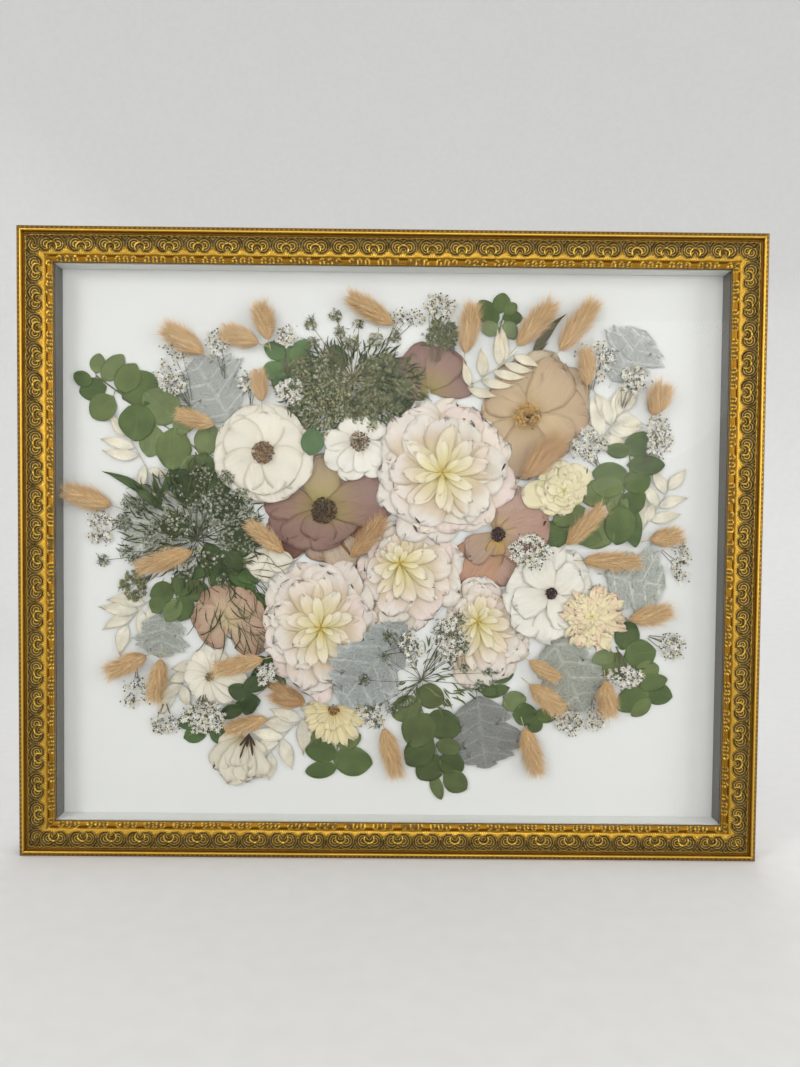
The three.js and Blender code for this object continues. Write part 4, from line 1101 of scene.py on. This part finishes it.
round_leaves("leaves_right", [[112, -4], [124, -16]], [[116, 8, 9, 6, 60], [128, 4, 9, 6, 20]], GREENS, False)
round_leaves("leaves_low_middle", [[70, -110], [84, -116]], [[102, -118, 10, 6, 10], [88, -128, 10, 6, -30]],
    GREENS, False)

# ------------------------------------------------------------------ blooms, from the lowest up
MAUVE = [(0, lin(160, 142, 82)), (0.3, lin(166, 140, 102)), (0.55, lin(160, 128, 114)), (1, lin(154, 119, 112))]
TAN = [(0, lin(186, 154, 104)), (0.4, lin(210, 182, 146)), (1, lin(204, 174, 144))]
RUST = [(0, lin(196, 166, 116)), (0.35, lin(196, 162, 142)), (1, lin(196, 156, 142))]
ROSE = [(0, lin(210, 188, 146)), (0.4, lin(208, 178, 150)), (1, lin(196, 160, 138))]
WHITE = [(0, lin(226, 218, 188)), (0.25, lin(244, 236, 218)), (1, lin(248, 240, 226))]
PURE = [(0, lin(240, 232, 216)), (1, lin(250, 245, 236))]
BROWN_ANTHERS = [lin(112, 76, 34), lin(150, 108, 54), lin(190, 150, 92), lin(78, 50, 24)]
DARK_ANTHERS = [lin(48, 26, 14), lin(84, 52, 22), lin(140, 98, 44), lin(34, 16, 10)]
MAROON = [lin(52, 18, 16), lin(70, 26, 20), lin(34, 12, 12)]
BRIGHT_ANTHERS = [lin(224, 160, 46), lin(242, 200, 100), lin(122, 74, 26), lin(236, 180, 70)]
GOLD_ANTHERS = [lin(178, 128, 48), lin(206, 164, 82), lin(140, 92, 34), lin(88, 54, 22)]

poppy("poppy_mauve_top", (33, 142), [(178, 36, 26), (140, 42, 34), (15, 38, 28), (105, 42, 34), (60, 42, 36),
    (200, 22, 20)], MAUVE, "petal_mauve", None, wave=1.2, rim=0.2, ragged=0.05)
poppy("poppy_rust", (97, 12), [(300, 46, 50), (238, 54, 52, [(0, lin(190, 150, 110)), (1, lin(204, 156, 136))]),
    (75, 44, 38), (45, 50, 48), (15, 46, 42), (335, 42, 42), (215, 34, 28,
    [(0, lin(190, 160, 130)), (1, lin(188, 158, 142))]), (266, 20, 18,
    [(0, lin(216, 178, 76)), (1, lin(196, 156, 126))])], RUST, "petal_rust",
    lambda mesh, top: stamens(mesh, (97, 12), 6.5, top + 0.6, MAROON, 200, 0.95), wave=1.4, rim=0.2,
    ragged=0.05)
poppy("poppy_pink_left", (-150, -66), [(320, 44, 32), (0, 38, 32), (140, 30, 30), (230, 30, 30), (90, 30, 30),
    (180, 30, 28), (40, 32, 28)], ROSE, "petal_rose", None, wave=1.4, rim=0.2, ragged=0.05)
poppy("poppy_tan", (122, 120), [(28, 62, 44, [(0, lin(214, 190, 156)), (1, lin(212, 186, 158))]),
    (72, 60, 42, [(0, lin(218, 196, 164)), (1, lin(222, 204, 178))]), (5, 54, 46), (100, 50, 44),
    (185, 40, 40, [(0, lin(206, 176, 122)), (1, lin(222, 196, 160))]), (50, 56, 44), (142, 40, 38),
    (228, 54, 44), (320, 48, 46, [(0, lin(200, 168, 112)), (0.4, lin(220, 192, 154)), (1, lin(212, 180, 146))]),
    (268, 56, 50)], TAN, "petal_tan", lambda mesh, top: (stamens(mesh, (122, 119), 12.5, top + 0.6,
    BRIGHT_ANTHERS, 230, 1.05, 0.2), stamens(mesh, (122, 119), 4, top + 0.8, DARK_ANTHERS, 30, 0.9)), wave=1.6,
    rim=0.2, ragged=0.045)
poppy("poppy_mauve_under", (-62, 33), [(275, 46, 42, [(0, lin(188, 160, 128)), (1, lin(200, 172, 158))]),
    (318, 58, 24, [(0, lin(178, 132, 100)), (1, lin(150, 108, 84))]),
    (298, 60, 40, [(0, lin(196, 172, 140)), (1, lin(214, 190, 172))]), (232, 56, 22),
    (338, 64, 26, [(0, lin(150, 96, 66)), (1, lin(156, 118, 96))])],
    [(0, lin(150, 110, 100)), (1, lin(128, 88, 78))], "petal_mauve", None, False, wave=1.2, rim=0.4)
poppy("poppy_mauve_left", (-62, 33), [(200, 52, 32), (170, 53, 36), (45, 50, 42), (228, 44, 34), (290, 34, 50),
    (95, 48, 40, [(0, lin(166, 156, 92)), (0.5, lin(182, 160, 116)), (1, lin(176, 152, 128))]), (12, 60, 50),
    (255, 28, 34)], MAUVE, "petal_mauve", lambda mesh, top: stamens(mesh, (-61, 32), 12, top + 0.6,
    DARK_ANTHERS, 520, 0.95), wave=1.3, rim=0.2, ragged=0.045)
poppy("petals_white_middle", (-112, -2), [(255, 30, 24), (285, 32, 26), (310, 26, 22), (230, 26, 18)], WHITE,
    "petal_cream", None, False, PETAL, wave=0.8, rim=0.15)
poppy("rose_white_low", (-164, -120), [(5, 30, 15), (35, 24, 14), (65, 26, 15), (95, 28, 14), (125, 26, 15),
    (155, 24, 13), (185, 24, 14), (215, 22, 14), (245, 24, 14), (275, 24, 15), (305, 30, 16), (330, 38, 18),
    (352, 34, 16)], WHITE, "petal_cream", lambda mesh, top: stamens(mesh, (-164, -120), 4, top, GOLD_ANTHERS,
    50, 0.7), True, PETAL, wave=0.9, rim=0.15)
poppy("rosebud_cream", (-133, -176), [(200, 24, 20), (310, 24, 20), (225, 40, 26), (290, 40, 26), (250, 44, 28),
    (272, 40, 22), (240, 30, 16), (282, 30, 14), (262, 28, 16)], [(0, lin(206, 190, 142)),
    (0.4, lin(238, 230, 210)), (1, lin(240, 232, 216))], "petal_cream", None, True, PETAL, wave=1.4, rim=0.2,
    cup=1.0, ragged=0.05)
# Dark brown strips in the gaps between the bud's petals: painted shade.
poppy("rosebud_shade_gaps", (-128, -172), [(262, 12, 2.4), (235, 14, 2), (285, 20, 2), (250, 24, 1.6), (300, 12, 2)],
    [(0, lin(60, 42, 26)), (1, lin(84, 60, 38))], "petal_cream", None, False, PETAL, wave=0.4)


def zinnia():
    """Half a bloom, with its short petals folded under."""
    mesh = Mesh()
    tint = [(0, lin(222, 188, 108)), (0.35, lin(240, 220, 166)), (1, lin(247, 233, 194))]
    for k in range(17):
        heading = 168 + 212 * k / 16 + rng.uniform(-4, 4)
        reach = reach_at([30, 9, 5, 12, 29, 29, 34, 31], heading) * rng.uniform(0.9, 1.08)
        blade(mesh, (-51, -150), heading, reach, rounded(8.5, 0.75, 2.2, 0.2), tint, z=(0.9, 0.5 * (k % 2)),
              wave=0.8, rim=0.15, notch=0.09, ragged=0.05, cup=0.6, start=0.12)
    for k in range(14):
        blade(mesh, (-51, -150), 165 + 220 * k / 13, rng.uniform(14, 20), rounded(6.5, 0.75, 2.2, 0.2), tint,
              z=(1.6, 1.4), wave=0.7, rim=0.15, notch=0.1, cup=0.6, start=0.15)
    stamens(mesh, (-51, -150), 5, 1.6, GOLD_ANTHERS, 80, 0.8)
    lay("zinnia_yellow", mesh, ["zinnia_yellow"], PETAL_THICK)


zinnia()
DARKS = [lin(66, 78, 40), lin(84, 92, 52), lin(54, 66, 34), lin(100, 98, 56), lin(46, 54, 30)]
SHADED = [lin(66, 82, 42), lin(56, 72, 36), lin(78, 94, 52)]
round_leaves("leaves_under_top_lace", [[-36, 118], [-40, 150], [-46, 172]],
    [[-60, 140, 14, 10, 150], [-46, 126, 13, 10, 200], [-20, 130, 13, 10, 330], [-4, 146, 13, 10, 20],
    [-16, 160, 12, 9, 60], [-64, 158, 13, 10, 140], [-50, 170, 11, 8, 110], [4, 130, 12, 9, 350],
    [-30, 110, 12, 9, 280], [-72, 124, 11, 8, 190]], SHADED, False)
round_leaves("leaves_under_rose", [[-178, 84], [-170, 60], [-172, 20], [-168, -20]],
    [[-172, 66, 16, 12, 80], [-158, 56, 15, 11, 60], [-186, 52, 15, 11, 110], [-150, 34, 14, 10, 30],
    [-196, 16, 12, 8, 170], [-138, 12, 13, 9, 10], [-162, -12, 13, 9, 300], [-146, -14, 12, 9, 330]], SHADED,
    False)
feathers("lace_leaves_top", (-36, 150), (-98, 24, 98, 182), 620, DARKS, (8, 16), 1.7)
feathers("lace_leaves_left", (-176, 4), (-240, -120, -40, 66), 330, DARKS, (8, 16), 1.5)
feathers("stalks_middle_left", (-160, -6), (-178, -100, -88, 0), 64, DARKS, (16, 34), 1.0)
feathers("lace_leaves_centre", (29, -122), (-8, 78, -150, -88), 110,
    [lin(96, 108, 62), lin(120, 124, 78), lin(80, 92, 50)])
round_leaves("leaves_low_left", [[-96, -96], [-112, -120], [-134, -140]],
    [[-104, -104, 11, 7, 60], [-116, -110, 10, 7, 140], [-122, -126, 11, 7, 200], [-106, -124, 10, 7, -20],
    [-136, -134, 10, 7, 160], [-128, -146, 9, 6, 250], [-94, -112, 10, 6, 0], [-144, -152, 10, 6, 200]],
    [lin(66, 82, 44), lin(54, 70, 36)], False)
umbel("queen_annes_lace_top", (-36, 152), [[-52, 208, 5], [-74, 200, 5], [-31, 201, 4], [-48, 194, 5],
    [-72, 184, 5], [-38, 184, 6], [-16, 187, 6], [2, 190, 5], [-8, 167, 8], [12, 145, 8], [-10, 132, 10],
    [-30, 118, 8], [-60, 106, 6], [-76, 112, 7], [-62, 126, 9], [-80, 140, 9], [-84, 160, 9], [-62, 170, 6],
    [-46, 136, 9], [-24, 142, 9], [-58, 148, 9], [-44, 120, 8], [-18, 112, 7], [-20, 158, 7]],
    [lin(78, 86, 42), lin(100, 104, 58), lin(196, 190, 144), lin(64, 74, 36), lin(160, 156, 112)],
    lin(112, 102, 54), 0.5, 1.4)
sprig("lace_green_top", (-36, 150), (-96, -34, 104, 172), 170, [lin(176, 178, 134), lin(120, 126, 78),
    lin(204, 202, 172)], [lin(74, 84, 44), lin(92, 98, 54)], lin(92, 88, 48), 1.5, lin(84, 104, 56))
sprig("lace_green_top_right", (-34, 150), (-34, 16, 110, 176), 130, [lin(176, 178, 134), lin(120, 126, 78)],
    [lin(74, 84, 44), lin(92, 98, 54)], lin(92, 88, 48), 1.4, lin(84, 104, 56))
poppy("rose_white_left", (-116, 84), [(10, 45, 48), (62, 45, 48), (112, 45, 46), (158, 45, 46), (205, 46, 48),
    (250, 45, 46), (300, 46, 50), (340, 47, 44), (30, 38, 42), (95, 37, 42), (150, 38, 40), (222, 38, 42),
    (275, 38, 40), (325, 37, 42)], WHITE, "petal_cream", lambda mesh, top: stamens(mesh, (-116, 84), 10,
    top + 1.0, BROWN_ANTHERS, 420, 1.0), True, PETAL, wave=1.5, rim=0.12, sharp=12, ragged=0.02,
    form=dict(peak=0.62, blunt=2.2, narrow=0.3))
poppy("cosmos_cream", (-29, 94), [(0, 28, 20), (40, 27, 18), (85, 24, 18), (130, 26, 18), (175, 33, 20),
    (215, 36, 24), (255, 36, 24), (300, 35, 24), (335, 33, 20), (235, 30, 18), (280, 28, 20), (320, 27, 18)],
    PURE, "petal_cream", lambda mesh, top: stamens(mesh, (-29, 95), 9, top + 0.6, DARK_ANTHERS + GOLD_ANTHERS,
    170, 0.9), True, PETAL, wave=1.2, rim=0.16, sharp=10, notch=0.04)


def layered(name, hub, reach, layers, tints, slot, **looks):
    """A bloom of rings whose petals each draw their colours from tints."""
    mesh = Mesh()
    rings(mesh, hub, reach, layers, lambda share: tints[rng.integers(0, len(tints))], **looks)
    lay(name, mesh, [name], PETAL_THICK)


CREAMS = [[(0, lin(214, 200, 126)), (0.5, lin(246, 234, 190)), (1, lin(250, 238, 204))],
    [(0, lin(200, 194, 112)), (0.5, lin(242, 230, 180)), (1, lin(248, 234, 200))]]
layered("ranunculus_cream", (157, 52), [19, 30, 28, 28, 38, 28, 21, 17],
    [(1.0, 8, 24), (0.8, 7, 20), (0.58, 7, 14), (0.42, 6, 9.5), (0.26, 5, 6)], CREAMS, "petal_cream", rise=0.6,
    rows=9, wave=1.0, rim=0.06, ragged=0.055, cup=0.6)
dahlia("dahlia_right", (79, -67), [47, 38, 40, 32, 24, 42, 63, 61], 0.8)
dahlia("dahlia_middle", (8, -15), [62, 45, 38, 34, 33, 48, 67, 66], 0.9)
poppy("anemone_white", (146, -41), [(10, 38, 38), (55, 42, 40), (100, 41, 38), (140, 41, 38), (185, 42, 40),
    (228, 45, 36), (275, 44, 36), (320, 41, 36), (35, 33, 30), (120, 33, 30), (205, 35, 30), (300, 34, 30)],
    PURE, "petal_cream", lambda mesh, top: stamens(mesh, (146, -41), 5.2, top + 0.6, MAROON, 200, 0.9), True,
    PETAL, wave=1.9, rim=0.08, sharp=10, notch=0.05, ragged=0.055)
dahlia("dahlia_left", (-63, -75), [50, 55, 70, 60, 54, 52, 70, 45], 0.95)
felted_leaf("dusty_miller_centre", 14, -70, 95, 27, -128, lin(168, 171, 168), lobes=9)
dahlia("dahlia_large", (46, 67), [67, 68, 70, 68, 56, 66, 66, 62])
PINKS = [[(0, lin(236, 214, 140)), (0.5, lin(250, 236, 190)), (1, lin(252, 236, 198))],
    [(0, lin(232, 210, 134)), (0.5, lin(252, 238, 192)), (1, lin(251, 222, 194))]]
layered("scabiosa_pink", (183, -62), [32, 34, 29, 27, 28, 28, 30, 35],
    [(1.0, 15, 11), (0.86, 14, 10), (0.7, 12, 8.5), (0.55, 11, 7), (0.4, 9, 5.5), (0.24, 7, 4)], PINKS,
    "petal_yellow", rise=0.4, rows=9, columns=7, wave=0.7, rim=0.05, ragged=0.1, notch=0.12, cup=0.4)

# ------------------------------------------------------------------ what lies on top
pointed_leaves("ruscus_top", [[68, 144], [88, 158], [104, 170], [113, 178]],
    [[69, 147, 64, 168, 4], [81, 155, 82, 180, 5], [95, 166, 97, 197, 5], [102, 170, 99, 200, 4],
    [107, 175, 133, 165, 4], [100, 168, 126, 155, 4], [90, 160, 120, 150, 4], [80, 151, 108, 141, 4],
    [68, 140, 94, 134, 4]], lin(240, 230, 208))
round_leaves("leaf_under_lace", [[-70, 76], [-70, 84]], [[-72, 94, 11, 9, 80]], [lin(80, 108, 62)], False)
LACE = [lin(80, 92, 56), lin(104, 112, 76), lin(168, 172, 146), lin(62, 74, 42), lin(206, 206, 188),
    lin(72, 84, 50)]
umbel("queen_annes_lace_left", (-176, 4), [[-198, 62, 4], [-209, 47, 5], [-193, 50, 4], [-240, 38, 5],
    [-226, 34, 6], [-243, 20, 7], [-216, 16, 4], [-220, 5, 6], [-242, -7, 5], [-262, -15, 5], [-234, -14, 5],
    [-172, 62, 9], [-156, 44, 9], [-136, 40, 10], [-128, 22, 8], [-146, 20, 8], [-190, 16, 8], [-132, 0, 8],
    [-152, -32, 5], [-186, -28, 5], [-164, 26, 9], [-150, 4, 8], [-150, 60, 7], [-176, 40, 8]], LACE,
    lin(70, 74, 48), 0.55, 1.3)
sprig("lace_white_left", (-176, 4), (-226, -138, -26, 52), 90, [lin(212, 212, 196), lin(188, 190, 166)],
    [lin(74, 84, 44), lin(92, 98, 54)], lin(92, 88, 48), 1.7)
umbel("queen_annes_lace_centre", (29, -122), [[0, -82, 6], [-6, -100, 4], [-24, -122, 5], [12, -86, 4],
    [46, -76, 6], [62, -66, 6], [60, -80, 6], [66, -90, 6], [58, -102, 4], [68, -110, 4], [90, -114, 4],
    [82, -126, 5], [-18, -150, 5], [-12, -163, 4], [2, -148, 5], [16, -142, 5]], LACE, lin(84, 84, 52), 0.6,
    1.15, 0.6)

TAILS = [(-170, 172, -205, 195, 22), (-112, 185, -119, 216, 20), (-121, 182, -151, 192, 20),
    (-118, 130, -121, 157, 16), (-160, 108, -194, 118, 16), (0, 200, -42, 226, 20), (65, 175, 72, 220, 20),
    (112, 182, 145, 222, 22), (150, 178, 183, 224, 22), (176, 147, 174, 180, 16), (235, 121, 244, 146, 22),
    (-253, 35, -296, 48, 22), (-97, -6, -129, 20, 17), (235, 8, 262, 13, 18), (217, -64, 256, -57, 20),
    (-115, -103, -161, -114, 18), (-221, -101, -258, -118, 19), (-208, -104, -214, -143, 19),
    (127, -103, 154, -120, 14), (128, -125, 157, -148, 20), (196, -120, 200, -152, 20),
    (123, -164, 137, -209, 20), (-5, -166, 8, -212, 20), (-112, -158, -150, -169, 16), ]
for k, (bx, by, tx, ty, width) in enumerate(TAILS):
    tail(f"bunny_tail_{k + 1}", (bx, by), (tx, ty), width)
BROWN_FUR = dict(tint=lin(206, 150, 96), light=lin(240, 206, 158))
tail("bunny_tail_behind_ranunculus", (118, 64), (152, 100), 26, **BROWN_FUR)
tail("bunny_tail_beside_poppy", (-36, -10), (-6, 26), 19, **BROWN_FUR)
tail("bunny_tail_bottom", (-77, -143), (-106, -133), 22, **BROWN_FUR)
tail("bunny_tail_left", (-180, -6), (-231, -23), 20, ["bunny_tail_left"])
tail("bunny_tail_right", (159, 3), (193, 39), 18, ["bunny_tail_right"])
tail("bunny_tail_low_right", (175, -11), (227, -12), 19, ["bunny_tail_low_right"])

OLIVE = [lin(112, 120, 70), lin(140, 142, 92), lin(88, 98, 56)]
SPRIGS = [  # root x, y, then x from, x to, y from, y to, and how many flowers
    (-178, 118, -215, -180, 130, 190, 60), (-150, 140, -168, -148, 168, 195, 34),
    (-96, 140, -108, -85, 178, 200, 26), (-128, 122, -145, -110, 138, 160, 36),
    (-92, 110, -106, -78, 128, 156, 40), (-8, 178, -3, 30, 200, 214, 36), (36, 178, 28, 58, 205, 230, 46),
    (178, 132, 165, 203, 150, 190, 54), (206, 120, 205, 232, 140, 167, 44), (222, 72, 228, 256, 82, 123, 60),
    (190, 70, 160, 196, 78, 108, 60), (128, -8, 106, 145, -18, 12, 90), (-240, 20, -278, -250, -3, 30, 40),
    (-205, -140, -220, -193, -175, -152, 40), (-232, -108, -247, -218, -150, -122, 30),
    (-112, -100, -122, -102, -128, -108, 30), (240, 4, 255, 275, -30, 8, 34),
    (228, -77, 245, 270, -103, -75, 40), (206, -88, 198, 235, -128, -107, 44),
    (150, -130, 150, 178, -172, -145, 44), (184, -132, 178, 200, -168, -145, 34),
    (29, -120, 38, 70, -105, -62, 60), (-2, -140, -30, 0, -165, -145, 24), (-12, -100, 8, 30, -110, -78, 24),
]
for k, (rx, ry, x0, x1, y0, y1, count) in enumerate(SPRIGS):
    sprig(f"tiny_flowers_{k + 1}", (rx, ry), (x0, x1, y0, y1), count)
sprig("tiny_flowers_dense_left", (-168, -132), (-192, -148, -174, -143), 90, green=lin(70, 92, 50))
sprig("feathery_green_top", (36, 160), (28, 60, 176, 206), 60, OLIVE, green=lin(76, 96, 52))
sprig("olive_sprig_left", (-214, -24), (-248, -218, -52, -20), 40, OLIVE)


# ------------------------------------------------------------------ stage, light and camera
def stage_floor():
    """A pale floor that rises in a smooth curve into a round wall, well away from the object."""
    flat, bend = 1.5, 0.8  # radius of the level part and of the curve, in metres
    profile = [(0.0, 0.0), (0.4, 0.0), (0.9, 0.0), (flat, 0.0)]
    profile += [(flat + bend * math.sin(t), bend - bend * math.cos(t))
                for t in np.linspace(0.15, math.pi / 2, 10)]
    profile += [(flat + bend, 1.6), (flat + bend, 2.6)]
    turns = np.linspace(0, 2 * math.pi, 65)
    r, z = np.array(profile).T
    points = np.stack([r[:, None] * np.cos(turns), r[:, None] * np.sin(turns), z[:, None] + 0 * turns], -1)
    i = np.arange(points[..., 0].size).reshape(points.shape[:2])
    quads = np.stack([i[:-1, :-1], i[1:, :-1], i[1:, 1:], i[:-1, 1:]], -1).reshape(-1, 4)
    data = bpy.data.meshes.new("floor")
    data.from_pydata(points.reshape(-1, 3).tolist(), [], quads.tolist())
    data.polygons.foreach_set("use_smooth", np.ones(len(quads), bool))
    data.materials.append(plain_material("pale_floor", lin(229, 229, 228), 0.8, 60, 0.02, 0, 0))
    floor = bpy.data.objects.new("floor", data)
    bpy.context.scene.collection.objects.link(floor)


def placed(axes, origin):
    """A matrix from the directions of x, y and z in its columns and an origin."""
    return Matrix([[*row, p] for row, p in zip(axes, origin)] + [[0, 0, 0, 1]])


def softbox(name, place, aim, width, height, power):
    """A rectangular light, turned to the height aim above the middle of the floor."""
    light = bpy.data.lights.new(name, "AREA")
    light.shape = "RECTANGLE"
    light.size, light.size_y = width, height
    light.energy = power
    obj = bpy.data.objects.new(name, light)
    obj.visible_camera = False
    bpy.context.scene.collection.objects.link(obj)
    back = np.array(place) - [0, 0, aim]
    back /= np.linalg.norm(back)
    right = np.cross([0, 0, 1], back)
    right /= np.linalg.norm(right)
    up = np.cross(back, right)
    obj.matrix_world = placed(np.array([right, up, back]).T, place)


def sky():
    """Even, slightly warm light from all round."""
    world = bpy.data.worlds.new("studio")
    bpy.context.scene.world = world
    world.use_nodes = True
    tree = world.node_tree
    tree.nodes["Background"].inputs["Color"].default_value = (0.9, 0.895, 0.885, 1)
    tree.nodes["Background"].inputs["Strength"].default_value = 0.82


def camera():
    """Where the photographer stood: a wide lens, 0.7 m in front of the frame, a little over its middle."""
    rx, ry, rz = np.radians([1.76, -0.25, 0.54])
    tilt = np.array([[1, 0, 0], [0, math.cos(rx), -math.sin(rx)], [0, math.sin(rx), math.cos(rx)]])
    pan = np.array([[math.cos(ry), 0, math.sin(ry)], [0, 1, 0], [-math.sin(ry), 0, math.cos(ry)]])
    roll = np.array([[math.cos(rz), -math.sin(rz), 0], [math.sin(rz), math.cos(rz), 0], [0, 0, 1]])
    r = roll @ pan @ tilt @ np.array([[1, 0, 0], [0, 0, -1], [0, 1, 0]])
    data = bpy.data.cameras.new("camera")
    data.lens = 27.0
    data.clip_start, data.clip_end = 0.02, 50
    obj = bpy.data.objects.new("camera", data)
    bpy.context.scene.collection.objects.link(obj)
    obj.matrix_world = placed(np.stack([r[0], -r[1], -r[2]], 1), (0.0049, -0.7257, 0.3137))
    bpy.context.scene.camera = obj


stage_floor()
softbox("key", (-1.4, -1.4, 1.2), 0.25, 0.6, 0.6, 11)
softbox("window", (1.7, -0.9, 0.5), 0.25, 0.8, 1.2, 14)
softbox("front", (0.2, -2.1, 0.45), 0.25, 2.0, 1.0, 22)
softbox("top", (0.1, -0.6, 2.3), 0.1, 1.4, 1.0, 2)
softbox("rear", (0.3, 1.7, 1.6), 0.3, 1.4, 1.0, 12)
sky()
camera()
bpy.context.scene.view_settings.view_transform = "Standard"
bpy.context.scene.view_settings.look = "None"
bpy.context.scene.cycles.max_bounces = 5
bpy.context.scene.cycles.diffuse_bounces = 2
